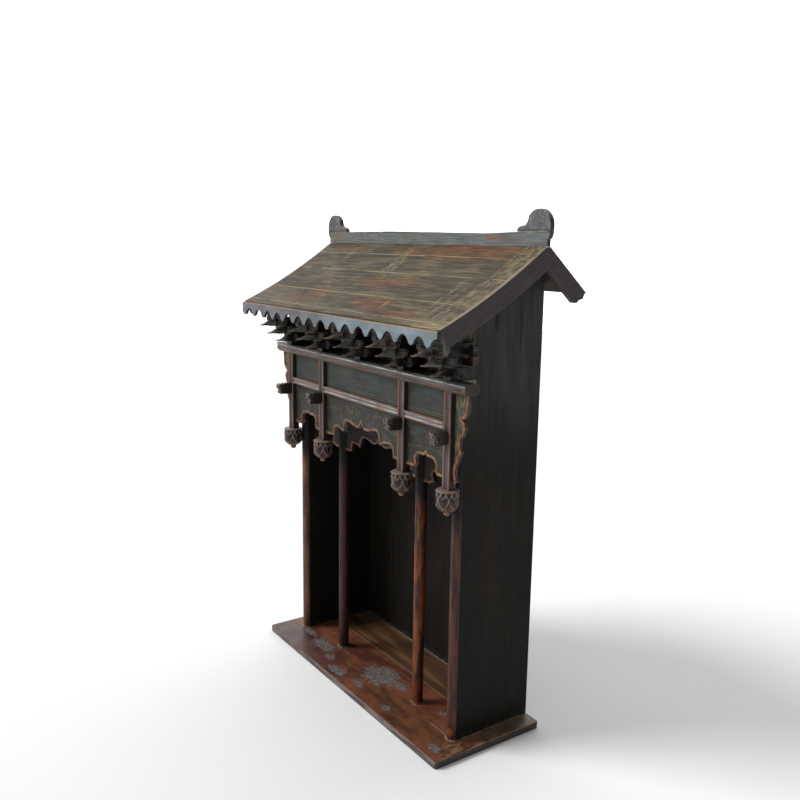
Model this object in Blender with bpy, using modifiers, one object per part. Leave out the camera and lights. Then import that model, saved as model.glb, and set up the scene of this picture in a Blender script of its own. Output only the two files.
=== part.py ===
# Carved wooden altar shrine: a shallow case on a base board, with four columns, a hanging
# carved hood, five bracket sets and a curved roof. Metres, X across the front, Y to the back,
# Z up. The origin is the middle of the underside of the base. The front faces -Y.
import math

import bmesh
import bpy
from mathutils import Matrix

for old in list(bpy.data.objects):
    bpy.data.objects.remove(old, do_unlink=True)

# Clearance left between two pieces that touch
fit = 0.0003

# Base of two boards
base_width = 0.800
base_depth = 0.301
base_thick = 0.017
base_front_width = 0.181
base_corner_radius = 0.006
base_edge_ease = 0.0012

# Case: side panels of two boards each, back of three boards
case_width = 0.712
side_thick = 0.027
side_setback = 0.090
side_seam_behind_ridge = 0.010
side_shoulder = 0.025
back_thick = 0.010
back_first_width = 0.119
back_second_width = 0.270

# Columns
column_diameter = 0.027
column_sides = 20
inner_column_x = 0.1755
inner_column_setback = 0.112

# Ledge that lies on the columns and on the shoulders of the side panels
ledge_underside = 0.829
ledge_thick = 0.009
ledge_width = 0.720
ledge_back = 0.0185

# Hood: top rail with a hollow nose and a slanted underside, posts, lower rails, panels
rail_length = 0.836
rail_top = 0.841
rail_height = 0.024
rail_nose_height = 0.0125
rail_nose_hollow = 0.0016
rail_depth = 0.0378
rail_setback = 0.038
rail_flat_front = 0.003
rail_flat_back = 0.0078
rail_chamfer = 0.0045
rail_slant = 0.0065

hood_setback = 0.0455
outer_post_x = 0.352
inner_post_x = 0.182
post_width = 0.024
post_depth = 0.0185
bead_width = 0.0048
hollow_depth = 0.0028
edge_round = 0.0012
lower_rail_underside = 0.7345
lower_rail_height = 0.017
panel_thick = 0.008
panel_recess = 0.0105

# Lotus pendants under the posts
pendant_radius = 0.0265
pendant_top = 0.6075
pendant_height = 0.0465
pendant_forward = 0.0025
petal_count = 6
petal_groove = 0.055
pendant_ball_radius = 0.0088
pendant_ball_height = 0.0155

# Carved beam heads on the faces of the posts
beam_head_width = 0.018
beam_head_length = 0.041
beam_head_height = 0.029
beam_head_shift = 0.003

# Aprons: the cusped openings, measured from the middle of each bay
apron_foot_z = 0.627
apron_squeeze = 0.010
inner_apron_drop = 0.049
inner_apron_thick = 0.008
inner_apron_hook = 0.010
apron_feet = {"left": 0.0197, "middle": 0.0177, "right": 0.0197}
inner_apron_feet = {"left": 0.0167, "middle": 0.0097, "right": 0.0167}
wide_reach = 0.1520
narrow_reach = 0.0530

# Wing boards at the ends of the hood
wing_thick = 0.007
wing_bottom = 0.6275
wing_reach = 0.4120

# Bracket sets on the top rail
back_board_thick = 0.0077
bracket_tiers = 3
tier_rise = 0.0218
tier_step = 0.0245
tier_overlap = 0.0011
arm_width = 0.012
arm_height = 0.0190
first_tip_reach = 0.0510
bracket_base_size = 0.025
bracket_base_height = 0.009
cross_arm_half = 0.037
cross_arm_height = 0.0125
cross_arm_thick = 0.011
cross_arm_growth = 0.0035
arm_sink = 0.0012
small_block = 0.0155
small_block_height = 0.0095
rear_arm_back = 0.0285
rear_arm_half = 0.041
beak_length = 0.032
crown_arm_rise = 0.0205

# Roof
roof_width = 0.885
eave_overhang = 0.052
eave_above_tiers = 0.0376
eave_slope = 0.44
ridge_rise = 0.163
ridge_setback = 0.226
rear_slope = 0.861
rear_overhang = 0.023
roof_thick = 0.012
roof_seams = (0.0895, 0.1745, 0.2365)
barge_thick = 0.010
barge_depth = 0.040
barge_tail = 0.0385
barge_cut = 0.017

fascia_thick = 0.0065
fascia_height = 0.034
notch_depth = 0.0205
notch_width = 0.040
notch_swell = 0.0032
notch_pitch = 0.0559
notch_first = 0.044

# Ridge board and its two finials
ridge_board_inset = 0.001
ridge_board_thick = 0.009
ridge_board_height = 0.0302
finial_thick = 0.0115
finial_width = 0.101
finial_height = 0.046
finial_out = 0.0085
finial_hang = 0.0165

# A step just past the ridge, where the rear slope's formula holds
past_ridge = 1e-6

# Places worked out from the sizes above
front_y = -base_depth / 2
back_y = base_depth / 2
base_top = base_thick
stand_z = base_top + fit
case_half = case_width / 2
side_inner = case_half - side_thick
side_front = front_y + side_setback
side_upper_front = side_front + side_shoulder
back_inner = back_y - back_thick
column_radius = column_diameter / 2
inner_column_y = front_y + inner_column_setback
end_column_x = case_half - column_radius
ledge_top = ledge_underside + ledge_thick
rail_front = front_y + rail_setback
rail_back = rail_front + rail_depth
rail_bottom = rail_top - rail_height
rail_nose_top = rail_top - rail_chamfer
rail_nose_bottom = rail_nose_top - rail_nose_height
hood_face = front_y + hood_setback
post_back = hood_face + post_depth
lower_rail_top = lower_rail_underside + lower_rail_height
panel_face = hood_face + panel_recess
panel_back = panel_face + panel_thick
wing_back = panel_face + wing_thick
back_board_front = side_upper_front - fit - back_board_thick
roof_half = roof_width / 2
eave_height = rail_top + bracket_base_height + bracket_tiers * tier_rise + eave_above_tiers
ridge_height = eave_height + ridge_rise
eave_y = front_y - eave_overhang
ridge_y = front_y + ridge_setback
side_seam = ridge_y + side_seam_behind_ridge
rear_eave_y = back_y + rear_overhang
slope_run = ridge_y - eave_y
slope_sag = (ridge_height - eave_height - eave_slope * slope_run) / slope_run ** 2
seat_half = ridge_board_thick / 2 + fit
barge_inner = roof_half - barge_thick
post_places = (-outer_post_x, -inner_post_x, inner_post_x, outer_post_x)

shrine = bpy.data.collections.new("altar_shrine")
cutters = bpy.data.collections.new("cutters")
bpy.context.scene.collection.children.link(shrine)
bpy.context.scene.collection.children.link(cutters)


def wood(name, red, green, blue, roughness):
    mat = bpy.data.materials.new(name)
    mat.use_nodes = True
    shader = mat.node_tree.nodes["Principled BSDF"]
    shader.inputs["Base Color"].default_value = (red, green, blue, 1)
    shader.inputs["Roughness"].default_value = roughness
    shader.inputs["Metallic"].default_value = 0
    return mat


red_lacquer = wood("red_lacquered_wood", 0.10, 0.035, 0.02, 0.4)
column_lacquer = wood("column_lacquer", 0.13, 0.04, 0.02, 0.4)
dark_panel = wood("dark_panel_wood", 0.012, 0.011, 0.010, 0.55)
frame_wood = wood("worn_frame_wood", 0.07, 0.045, 0.04, 0.6)
slate_paint = wood("slate_painted_wood", 0.04, 0.05, 0.045, 0.65)
green_paint = wood("green_painted_wood", 0.05, 0.07, 0.05, 0.65)
blue_paint = wood("blue_grey_painted_wood", 0.10, 0.13, 0.14, 0.6)
carved_dark = wood("dark_carved_wood", 0.03, 0.02, 0.016, 0.6)
roof_wood = wood("weathered_roof_wood", 0.12, 0.09, 0.06, 0.7)
barge_wood = wood("dark_bargeboard_wood", 0.03, 0.022, 0.022, 0.6)


def place(obj, mat, smooth_angle=None):
    """Put an object in the shrine's collection with its material."""
    obj.data.materials.clear()
    obj.data.materials.append(mat)
    for holder in list(obj.users_collection):
        holder.objects.unlink(obj)
    shrine.objects.link(obj)
    if smooth_angle and obj.type == "MESH":
        obj.data.shade_smooth()
        obj.data.set_sharp_from_angle(angle=math.radians(smooth_angle))
    return obj


def block(name, low, high, mat):
    """A board or block between two corners."""
    bpy.ops.mesh.primitive_cube_add(size=1)
    obj = bpy.context.object
    obj.name = name
    size = [b - a for a, b in zip(low, high)]
    middle = [(a + b) / 2 for a, b in zip(low, high)]
    obj.data.transform(Matrix.Diagonal((*size, 1)))
    obj.location = middle
    return place(obj, mat)


def plate(name, outline, axis, start, end, mat):
    """A flat outline, extruded along an axis from start to end.

    For X the outline is (y, z), for Y it is (x, z) and for Z it is (x, y).
    """
    curve = bpy.data.curves.new(name, "CURVE")
    curve.dimensions = "2D"
    curve.fill_mode = "BOTH"
    curve.extrude = abs(end - start) / 2
    spline = curve.splines.new("POLY")
    spline.points.add(len(outline) - 1)
    spline.use_cyclic_u = True
    for point, (u, v) in zip(spline.points, outline):
        point.co = (u, v, 0, 1)
    obj = bpy.data.objects.new(name, curve)
    middle = (start + end) / 2
    if axis == "X":
        obj.matrix_world = Matrix(((0, 0, 1, middle), (1, 0, 0, 0), (0, 1, 0, 0), (0, 0, 0, 1)))
    elif axis == "Y":
        obj.matrix_world = Matrix(((1, 0, 0, 0), (0, 0, -1, middle), (0, 1, 0, 0), (0, 0, 0, 1)))
    else:
        obj.location = (0, 0, middle)
    return place(obj, mat)


def arc(start, end, bulge, steps):
    """Points after start up to end on a circular arc; bulge is its height, left of the way."""
    (x0, y0), (x1, y1) = start, end
    chord = math.hypot(x1 - x0, y1 - y0)
    if steps < 2 or abs(bulge) < 1e-6:
        return [end]
    radius = (chord ** 2 / 4 + bulge ** 2) / (2 * abs(bulge))
    half = math.asin(min(1, chord / 2 / radius))
    if abs(bulge) > chord / 2:
        half = math.pi - half
    along = ((x1 - x0) / chord, (y1 - y0) / chord)
    left = (-along[1], along[0])
    side = 1 if bulge > 0 else -1
    points = []
    for i in range(1, steps):
        angle = -half + 2 * half * i / steps
        run = chord / 2 + radius * math.sin(angle)
        rise = side * (radius * math.cos(angle) - radius * math.cos(half))
        points.append((x0 + along[0] * run + left[0] * rise, y0 + along[1] * run + left[1] * rise))
    return points + [end]


def bent_line(start, stretches):
    """An outline's points from a list of (end, bulge, steps)."""
    points = [start]
    for end, bulge, steps in stretches:
        points += arc(points[-1], end, bulge, steps)
    return points


def mirrored(points):
    return [(-x, z) for x, z in reversed(points)]


def roof_top(y):
    """Height of the roof's upper face, flat where the ridge board sits."""
    y_seat = min(max(y, eave_y), ridge_y - seat_half) if y <= ridge_y else max(y, ridge_y + seat_half)
    if y <= ridge_y:
        run = y_seat - eave_y
        return eave_height + eave_slope * run + slope_sag * run ** 2
    front_seat = roof_top(ridge_y)
    return min(front_seat, ridge_height - rear_slope * (y_seat - ridge_y))


def roof_slope(y):
    if y > ridge_y:
        return rear_slope
    return eave_slope + 2 * slope_sag * (y - eave_y)


def below_roof(y, depth):
    """A height square below the roof's upper face by depth, without the ridge's flat."""
    if y > ridge_y:
        plain = ridge_height - rear_slope * (y - ridge_y)
    else:
        plain = eave_height + eave_slope * (y - eave_y) + slope_sag * (y - eave_y) ** 2
    return plain - depth * math.hypot(1, roof_slope(y))


def spread(start, end, count):
    return [start + (end - start) * i / count for i in range(count + 1)]


# Base boards, with rounded outer corners
def base_board(name, y0, y1, round_front, round_back):
    half = base_width / 2
    r = base_corner_radius
    dent = r * (1 - math.sqrt(0.5))
    points = []
    if round_front:
        points += bent_line((-half, y0 + r), [((-half + r, y0), -dent, 3)])
        points += bent_line((half - r, y0), [((half, y0 + r), -dent, 3)])
    else:
        points += [(-half, y0), (half, y0)]
    if round_back:
        points += bent_line((half, y1 - r), [((half - r, y1), -dent, 3)])
        points += bent_line((-half + r, y1), [((-half, y1 - r), -dent, 3)])
    else:
        points += [(half, y1), (-half, y1)]
    obj = plate(name, points, "Z", 0, base_thick, red_lacquer)
    weld = obj.modifiers.new("weld", "WELD")
    weld.merge_threshold = 0.00005
    ease = obj.modifiers.new("ease", "BEVEL")
    ease.width = base_edge_ease
    ease.segments = 1
    ease.limit_method = "ANGLE"
    ease.angle_limit = math.radians(60)
    return obj


base_seam = front_y + base_front_width
base_board("base_front_board", front_y, base_seam - fit / 2, True, False)
base_board("base_rear_board", base_seam + fit / 2, back_y, False, True)


# Side panels: the tops follow the underside of the roof, the upper front edge steps back
def side_panels(side_name, sign):
    outer = sign * case_half
    inner = sign * side_inner
    under = roof_thick + fit
    seam_front = side_seam - fit / 2
    seam_rear = side_seam + fit / 2
    shoulder_z = ledge_underside - fit
    front = [(side_front, stand_z), (seam_front, stand_z)]
    front += [(y, below_roof(y, under)) for y in (seam_front, ridge_y + past_ridge)]
    rising = spread(ridge_y, side_upper_front, 5)[1:]
    front += [(y, below_roof(y, under)) for y in rising]
    front += [(side_upper_front, shoulder_z), (side_front, shoulder_z)]
    plate(side_name + "_side_front_board", front, "X", min(outer, inner), max(outer, inner), dark_panel)
    rear = [(seam_rear, stand_z), (back_y, stand_z)]
    rear += [(y, below_roof(y, under)) for y in (back_y, seam_rear)]
    plate(side_name + "_side_rear_board", rear, "X", min(outer, inner), max(outer, inner), dark_panel)


side_panels("left", -1)
side_panels("right", 1)

# Back boards between the side panels
back_edges = [-side_inner + fit]
back_edges.append(back_edges[0] + back_first_width)
back_edges.append(back_edges[1] + back_second_width)
back_edges.append(side_inner - fit)
back_top = below_roof(back_y, roof_thick + fit)
for i in range(3):
    left = back_edges[i] + (fit / 2 if i else 0)
    right = back_edges[i + 1] - (fit / 2 if i < 2 else 0)
    block("back_board_%d" % (i + 1), (left, back_inner, stand_z), (right, back_y, back_top), dark_panel)


# Columns: two round ones, and a half-round one on the front edge of each side panel
def round_column(name, x):
    bpy.ops.mesh.primitive_cylinder_add(
        vertices=column_sides, radius=column_radius, depth=ledge_underside - fit - stand_z)
    obj = bpy.context.object
    obj.name = name
    obj.location = (x, inner_column_y, (ledge_underside - fit + stand_z) / 2)
    return place(obj, column_lacquer, 50)


def half_column(name, x):
    back = side_front - fit
    points = bent_line((x - column_radius, back), [((x + column_radius, back), -column_radius, 10)])
    return plate(name, points, "Z", stand_z, ledge_underside - fit, column_lacquer)


half_column("left_end_column", -end_column_x)
round_column("left_inner_column", -inner_column_x)
round_column("right_inner_column", inner_column_x)
half_column("right_end_column", end_column_x)

# Ledge: wide in front, where it lies on the shoulders, narrow between the side panels
ledge_front = rail_back + fit
ledge_step = side_upper_front - fit
ledge_half = ledge_width / 2
narrow = side_inner - fit
plate("ledge_board", [
    (-ledge_half, ledge_front), (ledge_half, ledge_front), (ledge_half, ledge_step),
    (narrow, ledge_step), (narrow, ledge_step + ledge_back),
    (-narrow, ledge_step + ledge_back), (-narrow, ledge_step), (-ledge_half, ledge_step),
], "Z", ledge_underside, ledge_top, frame_wood)

# Top rail: flat on top, a hollow between two beads in front, slanted below it
rail_nose = arc((rail_front, rail_nose_top - edge_round), (rail_front, rail_nose_bottom + edge_round),
                rail_nose_hollow, 4)
rail_outline = [
    (rail_back - rail_flat_back, rail_top),
    (rail_front + rail_flat_front, rail_top),
    (rail_front, rail_nose_top),
    (rail_front, rail_nose_top - edge_round),
    *rail_nose,
    (rail_front, rail_nose_bottom),
    (rail_front + rail_slant, rail_bottom),
    (rail_back - rail_chamfer, rail_bottom),
    (rail_back, rail_bottom + 2 * rail_chamfer),
    (rail_back, rail_nose_top),
]
plate("hood_top_rail", rail_outline, "X", -rail_length / 2, rail_length / 2, frame_wood)


# Posts and lower rails share one moulded section: a hollow between two beads
def moulded_section(width, face, back):
    half = width / 2
    lip = half - bead_width
    hollow = arc((-lip, face + edge_round / 2), (lip, face + edge_round / 2), hollow_depth, 5)
    points = [(-half, back), (-half, face + edge_round), (-half + edge_round, face)]
    points += [(-lip - edge_round, face), (-lip, face + edge_round / 2)]
    points += hollow
    points += [(lip + edge_round, face), (half - edge_round, face), (half, face + edge_round), (half, back)]
    return points


post_top = rail_bottom - fit
for number, x in enumerate(post_places, 1):
    section = [(x + u, v) for u, v in moulded_section(post_width, hood_face, post_back)]
    plate("hanging_post_%d" % number, section, "Z", pendant_top + fit, post_top, frame_wood)

rail_middle = lower_rail_underside + lower_rail_height / 2
rail_section = [(v, rail_middle + u) for u, v in moulded_section(lower_rail_height, hood_face, post_back)]
bays = []
for i, bay_name in enumerate(("left", "middle", "right")):
    left = post_places[i] + post_width / 2 + fit
    right = post_places[i + 1] - post_width / 2 - fit
    bays.append((bay_name, left, right))
for bay_name, left, right in bays:
    plate("lower_rail_" + bay_name, rail_section, "X", left, right, frame_wood)
    block("frieze_panel_" + bay_name, (left, panel_face, lower_rail_top + fit),
          (right, panel_back, post_top), slate_paint)


# Aprons: a small middle point, a lobe and a hook, and in the middle bay a lower lobe as well.
# Each place is (distance from the bay's middle, height over the foot), drawn for an opening
# with its own reach and then stretched to the bay
def wide_opening(foot, hook, squeeze):
    lobe = 0.0295 - 0.3 * squeeze
    return bent_line((wide_reach, foot), [
        ((wide_reach - squeeze, foot + 0.0005), -0.001, 2),
        ((0.1395 - squeeze, foot + 0.0040), 0.001, 2),
        ((0.1380 - squeeze, foot + 0.0195), -0.0012, 2),
        ((0.1250 - squeeze, foot + lobe), -0.0036, 3),
        ((0.1010 - squeeze / 3, foot + lobe - 0.003), -0.001, 2),
        ((0.0785 + hook, foot + 0.0195), 0.0008, 2),
        ((0.0780 + hook / 2, foot + 0.0380), -0.0018, 3),
        ((0.0630, foot + 0.0500), -0.0052, 4),
        ((0.0360, foot + 0.0440), -0.001, 2),
        ((0.0120 + hook, foot + 0.0430), 0.0008, 2),
        ((0.0050, foot + 0.0500), 0.001, 2),
        ((0, foot + 0.0575), 0.0008, 1),
    ])


def narrow_opening(foot, hook, squeeze):
    return bent_line((narrow_reach, foot), [
        ((0.0455, foot), -0.0005, 2),
        ((0.0395, foot + 0.0030), 0.0008, 2),
        ((0.0345 - hook, foot + 0.0093), 0, 1),
        ((0.0375 - hook / 2, foot + 0.0200), -0.0008, 2),
        ((0.0340, foot + 0.0275), -0.0012, 2),
        ((0.0265, foot + 0.0326), -0.0012, 2),
        ((0.0148, foot + 0.0335), -0.001, 2),
        ((0.0050, foot + 0.0345), 0, 1),
        ((0, foot + 0.0370 + squeeze / 5), 0.0004, 1),
    ])


def apron(name, left, right, foot_width, drop, hook, top, face, thick):
    """A board whose lower edge is the cusped opening, its left lobe a little squeezed."""
    middle = (left + right) / 2
    half = (right - left) / 2
    opening, reach = narrow_opening, narrow_reach
    if name.endswith("middle"):
        opening, reach = wide_opening, wide_reach
    stretch = (half - foot_width) / reach
    foot = apron_foot_z - drop
    right_edge = opening(foot, hook, 0)
    left_edge = opening(foot, hook, apron_squeeze)
    right_edge[-1] = left_edge[-1]
    lower = [(stretch * x, z) for x, z in right_edge + mirrored(left_edge[:-1])]
    points = [(-half, top), (half, top), (half, foot), *lower, (-half, foot)]
    return plate(name, [(middle + x, z) for x, z in points], "Y", face, face + thick, slate_paint)


apron_top = lower_rail_underside - fit
for bay_name, left, right in bays:
    apron("apron_" + bay_name, left, right, apron_feet[bay_name], 0, 0,
          apron_top, panel_face, panel_thick)

inner_face = inner_column_y - inner_apron_thick / 2
inner_edges = (-side_inner, -inner_column_x, inner_column_x, side_inner)
for i, bay_name in enumerate(("left", "middle", "right")):
    left = inner_edges[i] + fit + (column_radius if i else 0)
    right = inner_edges[i + 1] - fit - (column_radius if i < 2 else 0)
    apron("inner_apron_" + bay_name, left, right, inner_apron_feet[bay_name], inner_apron_drop,
          inner_apron_hook, ledge_underside - fit, inner_face, inner_apron_thick)


# Wing boards: a scalloped outer edge beside each end post
def wing(name, sign):
    inner = outer_post_x + post_width / 2 + fit
    low = wing_bottom
    reach = wing_reach
    edge = bent_line((inner, low), [
        ((reach - 0.034, low), 0, 1),
        ((reach - 0.0405, low + 0.023), 0.002, 3),
        ((reach - 0.0335, low + 0.044), 0.001, 2),
        ((reach - 0.0205, low + 0.067), 0.001, 2),
        ((reach - 0.0265, low + 0.093), 0.0025, 4),
        ((reach - 0.0095, low + 0.121), -0.003, 4),
        ((reach - 0.0205, low + 0.135), -0.0025, 3),
        ((reach - 0.003, low + 0.153), -0.003, 3),
        ((reach, post_top), 0, 1),
        ((inner, post_top), 0, 1),
    ])
    points = [(sign * x, z) for x, z in edge]
    return plate(name, points, "Y", panel_face, wing_back, green_paint)


wing("left_wing", -1)
wing("right_wing", 1)


# Beam heads: a block with a round upper lobe and a round lower lobe in front
def beam_head(name, x):
    root = hood_face - fit
    top = lower_rail_underside
    low = top - beam_head_height
    tip = root - beam_head_length
    points = bent_line((root, low), [
        ((root, top), 0, 1),
        ((tip + 0.019, top), 0, 1),
        ((tip + 0.0165, top - 0.0025), 0, 1),
        ((tip + 0.007, top - 0.0155), -0.0095, 7),
        ((tip + 0.0095, top - 0.0175), 0, 1),
        ((tip + 0.0145, low + 0.0005), -0.0055, 6),
        ((tip + 0.0170, low + 0.002), 0, 1),
        ((tip + 0.0205, low), 0, 1),
    ])[:-1]
    middle = x - beam_head_shift
    points.append((tip + 0.0205, low))
    return plate(name, points, "X", middle - beam_head_width / 2, middle + beam_head_width / 2, carved_dark)


for number, x in enumerate(post_places, 1):
    beam_head("beam_head_%d" % number, x)


# Lotus pendants: a six-sided cup of petals with a small ball under it
def petal_radius(angle, height):
    """Share of the full radius: a softened hexagon with a groove between the petals."""
    turn = 2 * math.pi / petal_count
    from_groove = (angle % turn) - turn / 2
    flat = math.cos(turn / 2) / math.cos(from_groove)
    depth = petal_groove * max(0, math.sin(math.pi * height))
    groove = 1 - depth * math.cos(from_groove * petal_count / 2) ** 2
    return (0.3 + 0.7 * flat) * groove


def pendant_mesh():
    steps = petal_count * 3
    ball = pendant_ball_height / 2
    neck = pendant_top - pendant_height
    cup = [(0, 0.92), (0.06, 1.0), (0.22, 0.965), (0.58, 1.0), (0.82, 0.84), (1, 0.50)]
    rings = []
    for share, size in cup:
        z = pendant_top - share * pendant_height
        rings.append([(z, pendant_radius * size * petal_radius(2 * math.pi * i / steps, share))
                      for i in range(steps)])
    for tilt in (45, 0, -45):
        z = neck - ball * 0.75 + ball * math.sin(math.radians(tilt))
        rings.append([(z, pendant_ball_radius * math.cos(math.radians(tilt)))] * steps)
    bm = bmesh.new()
    layers = []
    for ring in rings:
        layer = []
        for i, (z, r) in enumerate(ring):
            angle = 2 * math.pi * i / steps
            layer.append(bm.verts.new((r * math.cos(angle), r * math.sin(angle), z)))
        layers.append(layer)
    for upper, lower in zip(layers, layers[1:]):
        for i in range(steps):
            j = (i + 1) % steps
            bm.faces.new((upper[i], lower[i], lower[j], upper[j]))
    bm.faces.new(layers[0])
    bm.faces.new(list(reversed(layers[-1])))
    bmesh.ops.recalc_face_normals(bm, faces=bm.faces)
    mesh = bpy.data.meshes.new("lotus_pendant")
    bm.to_mesh(mesh)
    bm.free()
    return mesh


lotus = pendant_mesh()
for number, x in enumerate(post_places, 1):
    pendant = bpy.data.objects.new("lotus_pendant_%d" % number, lotus)
    pendant.location = (x, (hood_face + post_back) / 2 - pendant_forward, 0)
    place(pendant, carved_dark, 35)

# Board behind the bracket sets, standing on the ledge under the roof
back_board_top = below_roof(back_board_front, roof_thick + fit)
block("bracket_back_board", (-case_half, back_board_front, ledge_top + fit),
      (case_half, side_upper_front - fit, back_board_top), blue_paint)


# Bracket sets: tiers of beaked arms that step forward, and cross arms with small blocks
def as_mesh(obj):
    """Turn a curve plate into a welded mesh object in the cutters' collection."""
    bpy.context.view_layer.update()
    evaluated = obj.evaluated_get(bpy.context.evaluated_depsgraph_get())
    mesh = bpy.data.meshes.new_from_object(evaluated)
    bm = bmesh.new()
    bm.from_mesh(mesh)
    bmesh.ops.remove_doubles(bm, verts=bm.verts, dist=0.00001)
    bmesh.ops.recalc_face_normals(bm, faces=bm.faces)
    bm.to_mesh(mesh)
    bm.free()
    solid = bpy.data.objects.new(obj.name + "_solid", mesh)
    solid.matrix_world = obj.matrix_world.copy()
    bpy.data.objects.remove(obj, do_unlink=True)
    cutters.objects.link(solid)
    solid.hide_render = True
    solid.display_type = "WIRE"
    return solid


def bracket_mesh():
    wall_y = (rail_front + rail_back) / 2 - 0.002
    tail = back_board_front - fit
    foot = rail_top + fit
    solids = []
    half = bracket_base_size / 2
    base_top_z = foot + bracket_base_height
    solids.append(as_mesh(block("base", (-half, wall_y - half, foot),
                                (half, wall_y + half, base_top_z), carved_dark)))
    behind = rail_back + fit
    under = ledge_top + fit
    root_top = base_top_z + tier_overlap
    root = [(wall_y, foot + 0.0006), (behind, foot + 0.0006), (behind, under), (tail - 0.0004, under),
            (tail - 0.0004, root_top), (wall_y, root_top)]
    root_half = arm_width / 2 - 0.0006
    solids.append(as_mesh(plate("root", root, "X", -root_half, root_half, carved_dark)))
    for tier in range(bracket_tiers):
        low = foot + bracket_base_height - arm_sink + tier * tier_rise
        tip = wall_y - first_tip_reach - tier * tier_step
        top = low + arm_height
        beak = bent_line((tail, low), [
            ((tail, low + tier_rise + tier_overlap), 0, 1),
            ((tip + beak_length + 0.008, low + tier_rise + tier_overlap), 0, 1),
            ((tip + beak_length + 0.003, top), 0, 1),
            ((tip + beak_length, top), 0, 1),
            ((tip, low + 0.0038), 0.0035, 4),
            ((tip, low + 0.0026), 0, 1),
            ((tip + beak_length, low), 0.001, 2),
        ])
        solids.append(as_mesh(plate("arm", beak, "X", -arm_width / 2, arm_width / 2, carved_dark)))
        half = small_block / 2
        front_row = wall_y - 0.0006 - tier_step * tier
        front_reach = cross_arm_half + cross_arm_growth * tier
        cross_rows = [(front_row, front_reach, low + 0.0007)]
        if tier:
            cross_rows.append((wall_y + rear_arm_back, rear_arm_half, low + 0.0007))
        if tier == bracket_tiers - 1:
            cross_rows.append((front_row, front_reach + 0.004, low + crown_arm_rise))
        for cross_y, reach, cross_low in cross_rows:
            cross_top = cross_low + cross_arm_height
            cross = bent_line((-reach, cross_top), [
                ((-reach, cross_low + 0.006), 0, 1),
                ((-reach + 0.010, cross_low), -0.002, 2),
                ((reach - 0.010, cross_low), 0, 1),
                ((reach, cross_low + 0.006), -0.002, 2),
                ((reach, cross_top), 0, 1),
            ])
            solids.append(as_mesh(plate("cross", cross, "Y", cross_y - cross_arm_thick / 2,
                                        cross_y + cross_arm_thick / 2, carved_dark)))
            cap_low = cross_top - tier_overlap
            for side in (-1, 1):
                x = side * (reach - small_block / 2 + 0.0015)
                cap = block("cap", (x - half, cross_y - half, cap_low),
                            (x + half, cross_y + half, cap_low + small_block_height), carved_dark)
                solids.append(as_mesh(cap))
    first = solids[0]
    for other in solids[1:]:
        join = first.modifiers.new("join", "BOOLEAN")
        join.operation = "UNION"
        join.solver = "EXACT"
        join.object = other
    bpy.context.view_layer.update()
    evaluated = first.evaluated_get(bpy.context.evaluated_depsgraph_get())
    mesh = bpy.data.meshes.new_from_object(evaluated)
    mesh.transform(first.matrix_world)
    mesh.name = "bracket_set"
    for solid in solids:
        bpy.data.objects.remove(solid, do_unlink=True)
    return mesh


bracket = bracket_mesh()
bracket_places = (-outer_post_x, -inner_post_x, 0, inner_post_x, outer_post_x)
for number, x in enumerate(bracket_places, 1):
    bracket_set = bpy.data.objects.new("bracket_set_%d" % number, bracket)
    bracket_set.location = (x, 0, 0)
    place(bracket_set, carved_dark)


# Roof boards between the bargeboards, counted from the eave up
def roof_board(name, y0, y1, steps):
    across = spread(y0, y1, steps)
    top = [(y, roof_top(y)) for y in across]
    if y1 > ridge_y - seat_half > y0:
        top = [(y, roof_top(y)) for y in sorted(across + [ridge_y - seat_half])]
    if y0 < ridge_y + seat_half < y1:
        top = [(y, roof_top(y)) for y in sorted(across + [ridge_y + seat_half])]
    bottom = [(y, below_roof(y, roof_thick)) for y in reversed(across)]
    return plate(name, top + bottom, "X", -barge_inner + fit, barge_inner - fit, roof_wood)


fascia_back = eave_y + fascia_thick
seams = [fascia_back + fit / 2, *(eave_y + s for s in roof_seams), ridge_y]
for i in range(4):
    roof_board("roof_board_%d" % (i + 1), seams[i] + fit / 2, seams[i + 1] - fit / 2, 4)
roof_board("roof_rear_board", ridge_y + fit / 2, rear_eave_y, 2)


# Bargeboards: they close the ends of the slopes and meet on a plumb joint at the ridge
def bargeboards(side_name, sign):
    outer = sign * roof_half
    inner = sign * barge_inner
    low, high = min(outer, inner), max(outer, inner)
    start = fascia_back + fit
    across = spread(start, ridge_y - fit / 2, 9)
    top = [(y, roof_top(y)) for y in sorted(across + [ridge_y - seat_half])]
    cut = start + barge_cut
    across_low = [y for y in reversed(across) if y > cut + 0.01] + [cut]
    bottom = [(y, below_roof(y, barge_depth)) for y in across_low]
    plate(side_name + "_front_bargeboard", top + bottom, "X", low, high, barge_wood)
    end = back_y + barge_tail
    top_z = ridge_height - rear_slope * (end - ridge_y)
    rear = [(ridge_y + fit / 2, below_roof(ridge_y + past_ridge, barge_depth)),
            (ridge_y + fit / 2, roof_top(ridge_y)), (ridge_y + seat_half, roof_top(ridge_y)),
            (end - 0.004, top_z + 0.0035), (end, top_z)]
    rear += arc((end, top_z), (end - 0.008, top_z - 0.013), -0.002, 3)
    rear += arc((end - 0.010, top_z - 0.015), (end - 0.026, top_z - 0.0215), -0.003, 4)
    rear += [(end - 0.037, below_roof(end - 0.037, barge_depth))]
    plate(side_name + "_rear_bargeboard", rear, "X", low, high, barge_wood)


bargeboards("left", -1)
bargeboards("right", 1)


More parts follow.
